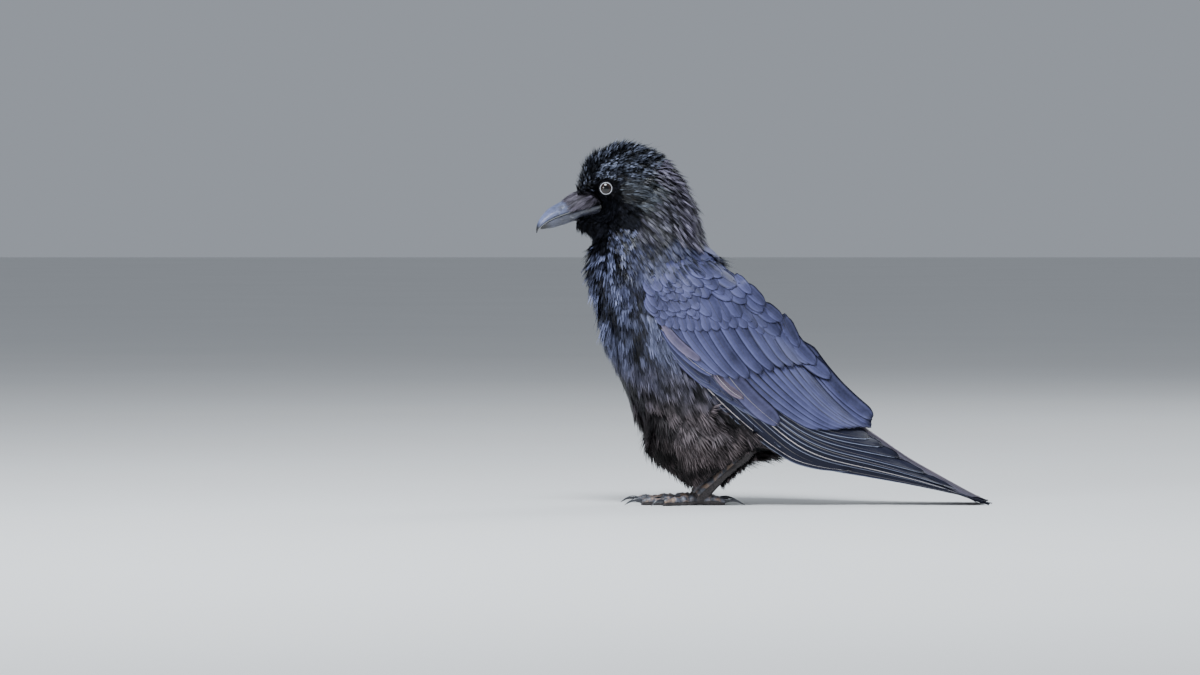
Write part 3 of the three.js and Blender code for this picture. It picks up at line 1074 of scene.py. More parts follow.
# the folded wing's outline on the side, as (x, z), and how far from the middle it starts
wingOutline = (
    (-32, 174),
    (-33, 150),
    (-22, 130),
    (5, 110),
    (60, 62),
    (92, 52),
    (132, 56),
    (116, 100),
    (82, 134),
    (46, 176),
    (6, 198),
    (-18, 191),
)
wingInner = 10
shoulder = {"x": -32, "z": 178, "slope": -0.32}  # the coat goes on above this line


def inside(outline, x, z):
    found = np.zeros(len(x), bool)
    ends = outline[1:] + outline[:1]
    for (ax, az), (bx, bz) in zip(outline, ends):
        crossing = (az > z) != (bz > z)
        found ^= crossing & (x < (bx - ax) * (z - az) / (bz - az + 1e-9) + ax)
    return found


def underWing(mesh, owners):
    # the part of the skin that the folded wings hide
    x, y, z = toBird(pointsOf(mesh)).T
    over = inside(wingOutline, x, z) & (np.abs(y) > wingInner)
    below = z <= shoulder["z"] + shoulder["slope"] * (x - shoulder["x"])
    return over | ((owners == "wing") & below)


# The plumage's finishes. Each kind varies between a dark tone and a light one, mostly painted sheen.

finishes = {
    # dark, light (painted sheen), roughness, shine, how rare the light strands, the painted glints, are, how
    # patchy it is
    "face": ((0.0005, 0.0006, 0.0008), (0.013, 0.014, 0.020), 0.55, 0.06, 2.0, 0.4),
    "crown": ((0.0008, 0.001, 0.0014), (0.40, 0.45, 0.63), 0.34, 0.36, 4.3, 0.15),
    "ear": ((0.001, 0.0014, 0.0016), (0.135, 0.155, 0.195), 0.34, 0.34, 2.9, 0.15),
    "nape": ((0.0015, 0.0013, 0.002), (0.235, 0.215, 0.30), 0.42, 0.3, 2.0, 0.15),
    "side": ((0.0012, 0.0012, 0.002), (0.145, 0.140, 0.20), 0.4, 0.3, 2.8, 0.15),
    "throat": ((0.0006, 0.0007, 0.0012), (0.26, 0.29, 0.5), 0.3, 0.5, 2.9, 0.4),
    "neck": ((0.0015, 0.0017, 0.003), (0.102, 0.112, 0.21), 0.42, 0.28, 1.9, 0.4),
    "breast": ((0.001, 0.0012, 0.002), (0.20, 0.22, 0.37), 0.4, 0.32, 2.4, 0.15),
    "belly": ((0.0008, 0.0007, 0.001), (0.195, 0.16, 0.172), 0.5, 0.22, 3.3, 0.4),
    "thigh": ((0.0009, 0.0008, 0.001), (0.185, 0.148, 0.152), 0.52, 0.22, 3.3, 0.4),
    "mantle": ((0.014, 0.015, 0.032), (0.106, 0.113, 0.240), 0.42, 0.28, 1.3, 0.4),
    "rump": ((0.005, 0.005, 0.01), (0.11, 0.112, 0.2), 0.46, 0.26, 1.7, 0.4),
    "nasal": ((0.009, 0.008, 0.01), (0.17, 0.15, 0.195), 0.5, 0.3, 1.6, 0.4),
}
coatIor = 1.35
vaneRelief = {"barbs": 90.0, "strength": 0.12}
# root: the share of tone left at each feather's root, which is darker there as painted shade
toneShares = {"streak": 0.46, "feather": 0.34, "strand": 0.20, "root": 0.08}
roughShares = {"broad": 0.25, "strand": 0.12}
breastEnd = {"low": 0.068, "high": 0.125, "ragged": 0.05}  # heights of its change to the belly's tone


def plumage(kind):
    dark, light, rough, shine, rare, patchy = finishes[kind]
    shade = Shade(kind + "Plumage")
    across, along = shade.uv("vane")
    own = shade.value("feather")
    each = (own * 7.31 + shade.value("strand") * 3.7).math("FRACT")  # a tone for each strand
    broad = shade.noise(45.0) - 0.5
    streak = shade.value("streak").ramp(0.2, 1.0)
    tone = streak * toneShares["streak"] + own * toneShares["feather"]
    tone = tone + each * toneShares["strand"] + broad * patchy
    # each feather darkens towards its root, painted shade where it lies under the ones above
    root = toneShares["root"]
    share = (tone * (root + along.ramp(0.05, 0.6) * (1 - root))).clamped() ** rare
    if kind == "breast":
        height = shade.axis(shade.spots(), 2) + broad * breastEnd["ragged"]
        light = shade.mix(height.ramp(breastEnd["low"], breastEnd["high"]), finishes["belly"][1], light)
    barbs = (across * vaneRelief["barbs"]).math("SINE") * 0.5 + 0.5
    return shade.set(
        {
            "Base Color": shade.mix(share, dark, light),
            "Roughness": rough + broad * roughShares["broad"] + (each - 0.5) * roughShares["strand"],
            "Specular IOR Level": shine,
            "IOR": coatIor,
            "Normal": shade.bump(barbs, vaneRelief["strength"]),
        }
    )


bareTones = {
    "dark": (0.0015, 0.0014, 0.002),
    "light": (0.014, 0.013, 0.018),
    "footDark": (0.014, 0.014, 0.017),
    "footLight": (0.11, 0.098, 0.096),
    "rough": 0.6,
    "shine": 0.12,
}


def bareSkin():
    shade = Shade("bareSkin")
    grain = shade.noise(300.0, 4.0)
    streak = (shade.value("streak").ramp(0.3, 1.0) * 0.7 + grain * 0.3).clamped()
    scaly = shade.noise(900.0, 2.0)
    body = shade.mix(streak, bareTones["dark"], bareTones["light"])
    foot = shade.mix(scaly, bareTones["footDark"], bareTones["footLight"])
    return shade.set(
        {
            "Base Color": shade.mix(shade.value("foot"), body, foot),
            "Roughness": bareTones["rough"],
            "Specular IOR Level": bareTones["shine"],
            "IOR": coatIor,
            "Normal": shade.bump(scaly, 0.5, 0.0004),
        }
    )


# The wings and tail: single large feathers laid over the surface of the folded wing. Places are
# (x, z) on the bird's side as it stands with a straight tail; layOnFloor then turns the rear up.

rearBend = {"x": 78.6, "z": 83.3, "heading": -42, "zone": 70, "rise": 0.305, "spread": 0.0077}


def layOnFloor(x, z):
    heading = math.radians(rearBend["heading"])
    cos, sin = math.cos(heading), math.sin(heading)
    along = (x - rearBend["x"]) * cos + (z - rearBend["z"]) * sin
    below = (x - rearBend["x"]) * sin - (z - rearBend["z"]) * cos
    zone = rearBend["zone"]
    share = min(max(along / zone, 0), 1)
    turned = zone * (share**3 - share**4 / 2) + max(0, along - zone)
    lift = max(0, rearBend["rise"] + rearBend["spread"] * below) * turned
    return x - lift * sin, z + lift * cos


def filled(field):
    # gives each empty place the mean of its neighbours, from the rim outwards, then smooths
    known = ~np.isnan(field)
    values = np.where(known, field, 0.0)
    while not known.all():
        total = np.zeros_like(values)
        count = np.zeros_like(values)
        for axis in (0, 1):
            for step in (1, -1):
                total += np.roll(np.where(known, values, 0), step, axis)
                count += np.roll(known, step, axis)
        fresh = ~known & (count > 0)
        values[fresh] = total[fresh] / count[fresh]
        known |= fresh
    for _ in range(2):
        padded = np.pad(values, 1, mode="edge")
        around = padded[:-2, 1:-1] + padded[2:, 1:-1] + padded[1:-1, :-2] + padded[1:-1, 2:]
        values = (values + around / 4) / 2
    return values


class Surface:
    # A sheet over the bird that feathers are laid on: across the side, or across the tail's top
    step = 3.0

    def __init__(self, names, low, high, ray, locate):
        self.low = np.array(low, float)
        counts = ((np.array(high) - self.low) / self.step).astype(int) + 1
        tree = treeOf(names)
        axis = int(np.argmax(np.abs(ray)))
        hits = np.full(counts, np.nan)
        self.rows = np.empty((*counts, 3))
        for i, k in np.ndindex(*counts):
            self.rows[i, k] = locate(*(self.low + np.array((i, k)) * self.step))
            hit = tree.ray_cast(inFrame(*self.rows[i, k]), Vector(ray))[0]
            if hit:
                hits[i, k] = toBird(hit)[axis]
        self.rows[..., axis] = filled(hits)
        normals = np.cross(np.gradient(self.rows, axis=0), np.gradient(self.rows, axis=1))
        self.normals = unit(normals * -np.sign((normals * np.array(ray)).sum(-1, keepdims=True)))

    def sample(self, grid, spots):
        limit = np.array(grid.shape[:2]) - 1.001
        spots = np.clip((spots - self.low) / self.step, 0, limit)
        cell = spots.astype(int)
        i, k = cell.T
        a, b = (spots - cell).T[..., None]
        near = grid[i, k] * (1 - b) + grid[i, k + 1] * b
        far = grid[i + 1, k] * (1 - b) + grid[i + 1, k + 1] * b
        return near * (1 - a) + far * a

    def normalsAt(self, spots):
        return unit(self.sample(self.normals, spots))

    def place(self, spots, heights):
        return self.sample(self.rows, spots) + self.normalsAt(spots) * heights[:, None]


def leftSurface():
    def locate(x, z):
        bentX, bentZ = layOnFloor(x, z)
        return bentX, -120.0, bentZ

    names = ("wing_left", "trunk", "neck")
    return Surface(names, (-60, -75), (231, 225), (0, 1, 0), locate)


def tailSurface():
    return Surface(("tail",), (88, -30), (240, 30), (0, 0, -1), lambda x, y: (x, y, 150.0))


builds = {
    # foot is the width at the root, full where the vane is full, tip where it starts to round
    # off, outer the outer web's share, edge how far the outer edge stands over the next feather,
    # rise how far the tip does, firm how dark its rims are
    "flight": {"foot": 0.35, "full": 0.2, "tip": 0.84, "outer": 0.24, "edge": 1.1, "rise": 1.2},
    "secondary": {"foot": 0.4, "full": 0.2, "tip": 0.86, "outer": 0.34, "edge": 1.1, "rise": 1.3},
    "covert": {"foot": 0.5, "full": 0.3, "tip": 0.72, "outer": 0.42, "edge": 0.9, "rise": 1.3},
    "small": {"foot": 0.5, "full": 0.35, "tip": 0.58, "outer": 0.48, "edge": 0.2, "rise": 1.5},
}
builds["flight"].update(rows=34, shaft=0.028, firm=1.0)
builds["secondary"].update(rows=28, shaft=0.014, firm=1.0)
builds["covert"].update(rows=14, shaft=0.014, firm=0.9)
builds["small"].update(rows=10, shaft=0.014, firm=0.5)
builds["tail"] = {**builds["flight"], "outer": 0.4}

vane = {
    "columns": 8,
    "crowded": 1.25,  # rows lie closer together at the tip
    "round": 2.2,  # how blunt the tip is
    "sweep": 0.10,  # shares of the width: how far the webs' edges trail, and their droop
    "cup": 0.035,
    "ragged": 0.3,
    "uneven": 0.05,  # in mm: how much the feathers differ in height, and their ripple
    "ripple": 0.06,
    "thick": 0.28,
    "rim": 0.05,
    "shaftTaper": 1.15,
    "shaftLeast": 0.05,
    "shaftTall": 1.1,
    "floor": 0.1,
}


def placedMesh(name, points, faces, mirror):
    points = toFrame(points)
    if mirror:
        points = points * np.array((1, -1, 1))
        faces = [face[::-1] for face in faces]
    points[:, 2] = np.maximum(points[:, 2], vane["floor"] * mm)
    return meshFrom(name, points, faces)


class Vanes:
    def __init__(self, surface, seed):
        self.surface = surface
        self.random = np.random.default_rng(seed)
        self.points = []
        self.faces = []
        self.vane = []
        self.barb = []
        self.counts = []  # points in each feather
        self.marks = {"feather": [], "wear": [], "deep": [], "firm": []}  # and its own values
        self.shaftPoints = []
        self.shaftFaces = []
        self.pale = []

    def widthAt(self, build, u):
        grown = build["foot"] + (1 - build["foot"]) * smoothStep(0, build["full"], u)
        past = np.clip((u - build["tip"]) / (1 - build["tip"]), 0, 1)
        return grown * np.sqrt(np.maximum(1 - past ** vane["round"], 0))

    def add(self, kind, root, tip, width, base, fray, bow=0.0, wear=0.0, deep=0.0, pale=0.0, flip=1):
        build = builds[kind]
        rows, columns = build["rows"], vane["columns"]
        u = 1 - (1 - np.linspace(0, 1, rows + 1)) ** vane["crowded"]
        grid, cross = np.meshgrid(u, np.linspace(-1, 1, columns + 1), indexing="ij")
        run = np.array(tip, float) - np.array(root, float)
        length = float(np.hypot(*run))
        ahead = run / length
        out = np.array((ahead[1], -ahead[0])) * flip
        half = np.where(cross > 0, build["outer"], 1 - build["outer"]) * width * self.widthAt(build, grid)
        ragged = self.random.normal(0, 1, grid.shape) * fray * smoothStep(0.8, 1, grid) * vane["ragged"]
        lag = -vane["sweep"] * cross**2 * smoothStep(0, 0.3, grid) * (1 - smoothStep(0.9, 1, grid))
        center = root + run * grid[..., None] + out * (bow * 4 * grid * (1 - grid))[..., None]
        plane = center + out * (cross * half)[..., None] + ahead * ((ragged + lag) * width)[..., None]
        spots = plane.reshape(-1, 2)
        height = base + build["rise"] * grid + build["edge"] * (cross + 1) / 2
        height += self.random.normal(0, vane["uneven"]) - vane["cup"] * width * cross**2
        height += vane["ripple"] * np.sin(grid * 9 + self.random.uniform(0, 6))
        thick = vane["thick"] * (1 - cross**2) * (1 - 0.6 * grid) + vane["rim"]
        top = self.surface.place(spots, height.ravel())
        low = self.surface.place(spots, (height - thick).ravel())
        self.addFaces(rows, columns, flip)
        self.points += [*top, *low]
        self.vane += list(np.tile(np.stack((cross * 0.5 + 0.5, grid), -1).reshape(-1, 2), (2, 1)))
        self.barb += list(np.tile(np.stack((cross * half, grid * length), -1).reshape(-1, 2), (2, 1)))
        self.counts.append(2 * len(top))
        for values, value in zip(self.marks.values(), (self.random.uniform(), wear, deep, build["firm"])):
            values.append(value)
        facing = self.surface.normalsAt(plane[:, columns // 2])
        self.addShaft(top.reshape(rows + 1, columns + 1, 3), u, width * build["shaft"], facing, pale, flip)

    def addFaces(self, rows, columns, flip):
        # the vane's top, its underside and the rim between them
        start = len(self.points)
        total = (rows + 1) * (columns + 1)
        upper = gridFaces(rows, columns, start)
        self.faces += [face[::flip] for face in upper]
        self.faces += [(a + total, d + total, c + total, b + total)[::flip] for a, b, c, d in upper]
        rim = [(i, 0) for i in range(rows)] + [(rows, k) for k in range(columns)]
        rim += [(i, columns) for i in range(rows, 0, -1)] + [(0, k) for k in range(columns, -1, -1)]
        ring = [start + i * (columns + 1) + k for i, k in rim]
        for a, b in zip(ring[:-1], ring[1:]):
            self.faces.append((a, a + total, b + total, b)[::flip])

    def addShaft(self, grid, u, stout, facing, pale, flip):
        # a low rib along the middle
        middle = grid.shape[1] // 2
        line = grid[:, middle]
        side = unit(grid[:, middle + 1] - line)
        lift = -unit(np.cross(np.gradient(line, axis=0), side))
        lift *= np.sign((lift * facing).sum(-1, keepdims=True))
        thickness = stout * (vane["shaftTaper"] - u)[:, None] + vane["shaftLeast"]
        start = len(self.shaftPoints)
        count = len(line)
        ridge = line + lift * thickness * vane["shaftTall"]
        self.shaftPoints += [*ridge, *(line + side * thickness), *(line - side * thickness)]
        for a in range(start, start + count - 1):
            self.shaftFaces.append((a, a + 1, a + count + 1, a + count)[::flip])
            self.shaftFaces.append((a, a + 2 * count, a + 2 * count + 1, a + 1)[::flip])
        self.pale += [pale] * (3 * count)

    def mesh(self, name, mirror=False):
        made = placedMesh(name, self.points, self.faces, mirror)
        corners = cornerPoints(made)
        vanes = np.array(self.vane)
        storeData(made, "vane", vanes[corners], "FLOAT2", "CORNER")
        storeData(made, "barb", np.array(self.barb)[corners], "FLOAT2", "CORNER")
        for key, values in self.marks.items():
            storeData(made, key, np.repeat(values, self.counts))
        # for the bake each feather has a cell of its own in a grid
        total = len(self.counts)
        across = math.ceil(math.sqrt(total * 2.2))
        down = math.ceil(total / across)
        number = np.repeat(np.arange(total), self.counts)
        cell = np.stack((number % across, number // across), 1)
        spots = (cell + 0.06 + vanes * 0.88) / np.array((across, down))
        storeData(made, "OFBake", spots[corners], "FLOAT2", "CORNER")
        return made

    def shaftMesh(self, name, mirror=False):
        made = placedMesh(name, self.shaftPoints, self.shaftFaces, mirror)
        storeData(made, "pale", self.pale)
        return made


def between(stops, count):
    # places spaced evenly in number along a few stops
    spots = np.linspace(0, len(stops) - 1, count)
    marks = np.arange(len(stops))
    return np.stack([np.interp(spots, marks, column) for column in zip(*stops)], 1)


wing = {
    # Lowest layer first. Each row runs from the outermost feather inwards: roots, tips, widths.
    "primaries": {
        "kind": "flight",
        "roots": ((-12, 112), (0, 112), (14, 108), (26, 104), (34, 102), (42, 98)),
        "tips": ((108, 13.5), (188, -45), (197, -38), (181, -12), (164, 8), (149, 27), (139, 40), (131, 49)),
        "count": 8,
        "width": (14, 14),
        "base": -2.4,
        "bow": 7,
        "pale": (1.0, 0.15, 0.9, 0.2, 0.12, 0.1, 0.1, 0.1),
        "fray": 0.10,
        "deep": 1.0,
    },
    "secondaries": {
        "kind": "secondary",
        "roots": ((24, 118), (40, 128), (58, 134), (72, 128)),
        "tips": ((96, 61), (108, 59), (115, 59.5), (121, 59), (126, 59), (130, 58.5), (134, 58)),
        "count": 10,
        "width": (15, 12),
        "base": -1.4,
        "bow": 5,
        "pale": (0.04,),
        "fray": 0.06,
        "deep": 0.0,
    },
    "primaryCoverts": {
        "kind": "covert",
        "roots": ((-30, 137), (-24, 130), (-14, 122), (-4, 116), (4, 114), (14, 112)),
        "tips": ((8, 98), (18, 90), (30, 82), (42, 74), (52, 69), (61, 65)),
        "count": 7,
        "width": (8, 13),
        "base": -1.2,
        "bow": 3,
        "pale": (0.15,),
        "fray": 0.05,
        "deep": 0.4,
    },
    "greaterCoverts": {
        "kind": "covert",
        "roots": ((-27, 146), (-8, 152), (12, 158), (34, 160), (56, 152), (66, 145)),
        "tips": (
            *((15, 105), (25.5, 101.5), (36.5, 101), (51, 106)),
            *((63, 109), (74, 110), (84, 111.5), (92, 111)),
        ),
        "count": 11,
        "width": (11, 13),
        "base": -0.4,
        "bow": 3,
        "pale": (0.02,),
        "fray": 0.03,
        "deep": 0.0,
    },
    "medianCoverts": {
        "kind": "small",
        "roots": ((-36, 158), (-18, 156), (0, 157), (18, 160), (38, 160)),
        "tips": ((-29, 143.5), (-12, 139), (6, 139), (28, 141), (52, 141)),
        "count": 13,
        "width": (9, 12),
        "base": -0.6,
        "bow": 0,
        "pale": (0.05,),
        "fray": 0.02,
        "deep": 0.0,
    },
}

# Single feathers that lie apart from the rows: the alula, worn feathers, and the broad one
singles = (
    # kind, root, tip, width, base, wear, pale (its shaft's painted highlight)
    ("covert", (-33, 137), (13, 91.5), 9.5, -1.6, 0.1, 0.3),
    ("covert", (-31, 141), (10, 104), 8, -0.3, 0.0, 0.9),
    ("covert", (-31, 146), (0, 116), 7.5, 0.2, 0.45, 0.15),
    ("covert", (8, 112), (34, 86), 7, -0.2, 0.8, 1.0),
    ("covert", (16, 112), (62, 65), 16, -0.3, 0.1, 0.4),
    ("secondary", (76, 132), (134, 62), 15, -1.1, 0.0, 0.03),
    ("secondary", (84, 122), (136, 66), 13, -0.9, 0.0, 0.03),
    ("covert", (64, 140), (104, 100), 14, -0.2, 0.0, 0.03),
)

# Rows of small feathers, lowest first: places of the tips, from the front edge or the shoulder
# inwards, then how many, their length, width and heading. They vary at random.
varied = {"turn": 8, "length": (0.88, 1.12), "width": (0.85, 1.18), "place": 1.3}
lesser = {
    "rows": (
        (((-33, 150), (0, 149)), 8, 17, 8, -56),
        (((-34, 156), (-2, 156)), 8, 17, 8, -56),
        (((-34, 162), (-6, 163)), 7, 16, 8, -56),
        (((-34, 168), (-8, 170)), 6, 16, 8, -56),
        (((-31, 173), (-9, 175)), 5, 15, 8, -56),
    ),
    "base": -0.6,
    "step": 0.16,  # how much higher each row lies
}

scapulars = {
    "rows": (
        (((-2, 157), (16, 146), (30, 150), (48, 137), (72, 124)), 9, 36, 15, -60),
        (((-5, 166), (6, 165), (24, 164), (46, 151), (78, 125)), 9, 31, 14, -58),
        (((-3, 172), (8, 174), (30, 170), (62, 145)), 8, 25, 13, -52),
        (((2, 180), (16, 181), (40, 168), (64, 148)), 7, 21, 11, -45),
    ),
    "base": -0.5,
    "step": 0.42,
}


def layWing(surface):
    vanes = Vanes(surface, 21)
    for row in wing.values():
        count = row["count"]
        roots, tips = between(row["roots"], count), between(row["tips"], count)
        widths = np.linspace(*row["width"], count)
        shared = {key: row[key] for key in ("bow", "fray", "deep")}
        for i in range(count):
            pale = row["pale"][min(i, len(row["pale"]) - 1)]
            base = row["base"] + 0.05 * i
            vanes.add(row["kind"], roots[i], tips[i], widths[i], base, pale=pale, **shared)
    for kind, root, tip, width, base, wear, pale in singles:
        vanes.add(kind, root, tip, width, base, 0.05, bow=3, wear=wear, pale=pale)
    layRows(vanes, lesser)
    layRows(vanes, scapulars)
    return vanes


def layRows(vanes, group):
    draw = vanes.random
    for level, (stops, count, length, width, heading) in enumerate(group["rows"]):
        for i, tip in enumerate(between(stops, count)):
            turn = math.radians(heading + draw.uniform(-1, 1) * varied["turn"])
            reach = length * draw.uniform(*varied["length"])
            wide = width * draw.uniform(*varied["width"])
            tip = tip + draw.normal(0, varied["place"], 2)
            root = tip - reach * np.array((math.cos(turn), math.sin(turn)))
            base = group["base"] + group["step"] * level + 0.04 * i
            vanes.add("small", root, tip, wide, base, 0.05, bow=0.8)


tail = {
    "pairs": 6,
    "root": (108, 3),  # distance back, and the outermost feather's distance from the middle
    "tip": (229, 20),
    "shorter": 7,  # how much shorter the outermost feather is
    "width": 14,
    "base": -0.4,
    "step": 0.35,
    "fray": 0.22,
}


def layTail(surface):
    vanes = Vanes(surface, 33)
    rootX, rootY = tail["root"]
    tipX, tipY = tail["tip"]
    for pair in range(tail["pairs"] - 1, -1, -1):
        share = pair / (tail["pairs"] - 1)
        marks = {"pale": 0.12 if pair else 0.75, "wear": 0.35 if pair < 2 else 0.1, "bow": 1.0}
        base = tail["base"] - tail["step"] * pair
        for flip in (1, -1):
            root = (rootX, flip * -rootY * (share + 0.15))
            tip = (tipX - tail["shorter"] * share**2, flip * -tipY * (share * 0.92 + 0.08))
            vanes.add("tail", root, tip, tail["width"], base, tail["fray"], flip=flip, **marks)
    return vanes


webs = {
    # dark, light (mostly painted sheen), roughness, shine
    "covert": ((0.014, 0.015, 0.032), (0.104, 0.110, 0.234), 0.42, 0.22),
    "tail": ((0.01, 0.01, 0.018), (0.08, 0.075, 0.125), 0.44, 0.22),
}
webTones = {
    "deep": (0.010, 0.011, 0.018),  # the primaries' black
    "worn": ((0.05, 0.038, 0.045), (0.26, 0.19, 0.21)),
    "rim": (0.004, 0.004, 0.009),
    "line": (0.27, 0.30, 0.40),  # the light that their outer edges catch
}
webShares = {
    # how much each of them changes the tone
    "feather": 0.22,
    "mottle": 0.8,
    "grain": 0.3,
    "barbs": 0.03,
    # inner darkens the overlapped inner web, as painted shade
    "inner": 0.46,
    # band is a painted highlight just inside the rim
    "band": 0.28,
    "deep": 0.7,
}
barbsInTurn = 11.0  # how closely the barbs follow one another
barbSlant = 0.9


def webFinish(kind):
    dark, light, rough, shine = webs[kind]
    shade = Shade(kind + "Web")
    across, along = shade.uv("vane")
    side, run = shade.uv("barb")
    own, wear, deep, firm = (shade.value(name) for name in ("feather", "wear", "deep", "firm"))
    mottle = shade.noise(60.0, 4.0)
    grain = shade.noise(500.0, 2.0)
    edge = (across - 0.5).math("ABSOLUTE") * 2.0
    barbs = ((run - side.math("ABSOLUTE") * barbSlant) * barbsInTurn).math("SINE")
    tone = 0.5 + (own - 0.5) * webShares["feather"] + barbs * webShares["barbs"]
    tone = tone + (mottle - 0.5) * webShares["mottle"] + (grain - 0.5) * webShares["grain"]
    # painted shade: darker towards the inner web, under the next feather
    inner = (across - 0.45).ramp(-0.45, 0.4) * webShares["inner"] - 0.29
    # a painted highlight in a band just inside the rim
    band = edge.ramp(0.45, 0.72) * (1 - edge.ramp(0.76, 0.9)) * webShares["band"]
    blacker = deep * webShares["deep"]
    tone = ((tone + inner + band) * (1 - blacker)).clamped()
    color = shade.mix(blacker, shade.mix(tone, dark, light), webTones["deep"])
    worn = (wear * (mottle * 1.5)).clamped()
    color = shade.mix(worn, color, shade.mix(tone, *webTones["worn"]))
    rim = (edge.ramp(0.80, 0.99) + along.ramp(0.93, 1.0)).clamped()
    color = shade.mix(rim * firm * 0.8, color, webTones["rim"])
    line = across.ramp(0.86, 0.93) * (1 - across.ramp(0.96, 1.0)) * deep
    return shade.set(
        {
            "Base Color": shade.mix(line * 0.8, color, webTones["line"]),
            "Roughness": rough + (mottle - 0.5) * 0.2 + worn * 0.15,
            "Specular IOR Level": shine,
            "IOR": coatIor,
            "Normal": shade.bump(barbs * 0.5 + grain * 0.5, 0.2),
        }
    )


# the pale tone is a painted highlight along the shafts
shaftTones = {
    "dark": (0.012, 0.012, 0.018),
    "pale": (0.60, 0.56, 0.56),
    "dirt": (0.10, 0.085, 0.08),
    "rough": 0.3,
}


def shaftHorn():
    shade = Shade("shaftHorn")
    # pale: a painted highlight along the shaft
    color = shade.mix(shade.value("pale"), shaftTones["dark"], shaftTones["pale"])
    color = shade.mix(shade.noise(400.0, 2.0) * 0.12, color, shaftTones["dirt"])
    return shade.set({"Base Color": color, "Roughness": shaftTones["rough"]})


def makeWingsAndTail():
    laid = layWing(leftSurface())
    web = webFinish("covert")
    horn = shaftHorn()
    for side, sign in sides.items():
        name = "wingFeathers_" + side
        addPiece(name, laid.mesh(name, sign > 0), [web], [f"wing_{side}"])
        name = "wingShafts_" + side
        addPiece(name, laid.shaftMesh(name, sign > 0), [horn])
    laid = layTail(tailSurface())
    addPiece("tailFeathers", laid.mesh("tailFeathers"), [webFinish("tail")], ["tail"])
    addPiece("tailShafts", laid.shaftMesh("tailShafts"), [horn])


# The bill. Its sections stand across its length: top and bottom as (x, z), and half the width.

upperBill = {
    "stations": (
        ((-88, 254), (-79, 240.9), 8.4),
        ((-100.4, 248.4), (-92, 237.4), 8.3),
        ((-108.9, 243.2), (-101, 234.4), 7.6),
        ((-116.2, 239.4), (-110.5, 231.3), 6.4),
        ((-122.2, 235.4), (-118, 228.2), 5.1),
        ((-126.8, 230), (-123.8, 224.9), 3.8),
        ((-130, 224.8), (-127.2, 222), 2.5),
        ((-131, 220), (-129.4, 219.4), 1.4),
        ((-130.9, 216.6), (-130.3, 216.8), 0.3),
    ),
    "widest": 0.18,  # how far up a section it is widest
    "ridge": 1.25,  # how narrow the culmen is
    "keel": 0.55,
    "dark": (0.03, 0.034, 0.055),
    # the pale tone is mostly painted sheen on the black horn
    "pale": (0.20, 0.235, 0.42),
    "line": 0.82,  # where the pale cutting edge runs, from a section's top (0) to its bottom (1)
    "foot": 0.13,  # how far along the black at the root ends
}
lowerBill = {
    "stations": (
        ((-79.2, 240.2), (-77, 233), 8.1),
        ((-92, 236.8), (-91, 228.6), 7.5),
        ((-101, 233.8), (-101.6, 225.6), 6.5),
        ((-110.5, 230.7), (-109.5, 223), 5.2),
        ((-118, 227.6), (-117, 220.9), 4.0),
        ((-123.8, 224.2), (-123.6, 220), 2.6),
        ((-127.4, 221.2), (-127.6, 219.6), 0.9),
    ),
    "widest": 0.82,
    "ridge": 0.5,
    "keel": 1.1,
    "dark": (0.018, 0.018, 0.024),
    # the pale tone is mostly painted sheen on the black horn
    "pale": (0.110, 0.120, 0.180),
    "line": 0.16,
    "foot": 0.05,
}
billRings = 72
billSides = 40


def splined(rows, count):
    # a smooth curve through the rows, sampled evenly by number
    rows = np.asarray(rows, float)
    last = len(rows) - 1
    made = []
    for t in np.linspace(0, last, count):
        i = min(int(t), last - 1)
        f = t - i
        before, start, end, after = (rows[min(max(k, 0), last)] for k in range(i - 1, i + 3))
        slope = (end - before) * f + (2 * before - 5 * start + 4 * end - after) * f**2
        made.append(0.5 * (2 * start + slope) + 0.5 * (3 * start - before - 3 * end + after) * f**3)
    return np.array(made)


def billSection(bill, row, angle):
    # a place on one section; angle 0 is the top and half a turn the bottom
    topX, topZ, lowX, lowZ, half = row
    rise = math.cos(angle)
    power = bill["ridge"] if rise > 0 else bill["keel"]
    y = math.copysign(abs(math.sin(angle)) ** power * half, math.sin(angle))
    widest = bill["widest"]
    share = widest + rise * (1 - widest if rise > 0 else widest)
    return (lowX + (topX - lowX) * share, y, lowZ + (topZ - lowZ) * share)


def billMesh(name, bill):
    rows = splined([(*top, *low, half) for top, low, half in bill["stations"]], billRings)
    angles = np.arange(billSides) * 2 * math.pi / billSides
    mesh = loftMesh(name, [[billSection(bill, row, angle) for angle in angles] for row in rows])
    along = np.repeat(np.linspace(0, 1, billRings), billSides)
    around = np.tile(np.minimum(angles, 2 * math.pi - angles) / math.pi, billRings)
    storeData(mesh, "along", np.append(along, (0, 1)))
    storeData(mesh, "around", np.append(around, (0.5, 0.5)))
    return mesh


def loftMesh(name, rings):
    wide = len(rings[0])
    points = [p for ring in rings for p in ring]
    sections = [[start + s for s in range(wide)] for start in range(0, len(points), wide)]
    faces = []
    for first, second in zip(sections[:-1], sections[1:]):
        for s in range(wide):
            after = (s + 1) % wide
            faces.append((first[s], first[after], second[after], second[s]))
    for end in (0, -1):
        # a fan closes each end
        points.append(tuple(np.mean(rings[end], axis=0)))
        for s in range(wide):
            faces.append((len(points) - 1, sections[end][s], sections[end][(s + 1) % wide]))
    mesh = meshFrom(name, toFrame(points), faces)
    turnOut(mesh)
    return mesh


hornTones = {
    "black": (0.004, 0.004, 0.005),
    "tip": (0.008, 0.008, 0.010),
    "edge": (0.40, 0.42, 0.50),
    "patch": (0.012, 0.011, 0.013),
    "flake": (0.36, 0.37, 0.42),
}


hornShares = {"along": 0.5, "mottle": 0.7, "streak": 0.6, "band": 0.35, "shadow": 0.75, "rim": 0.75}


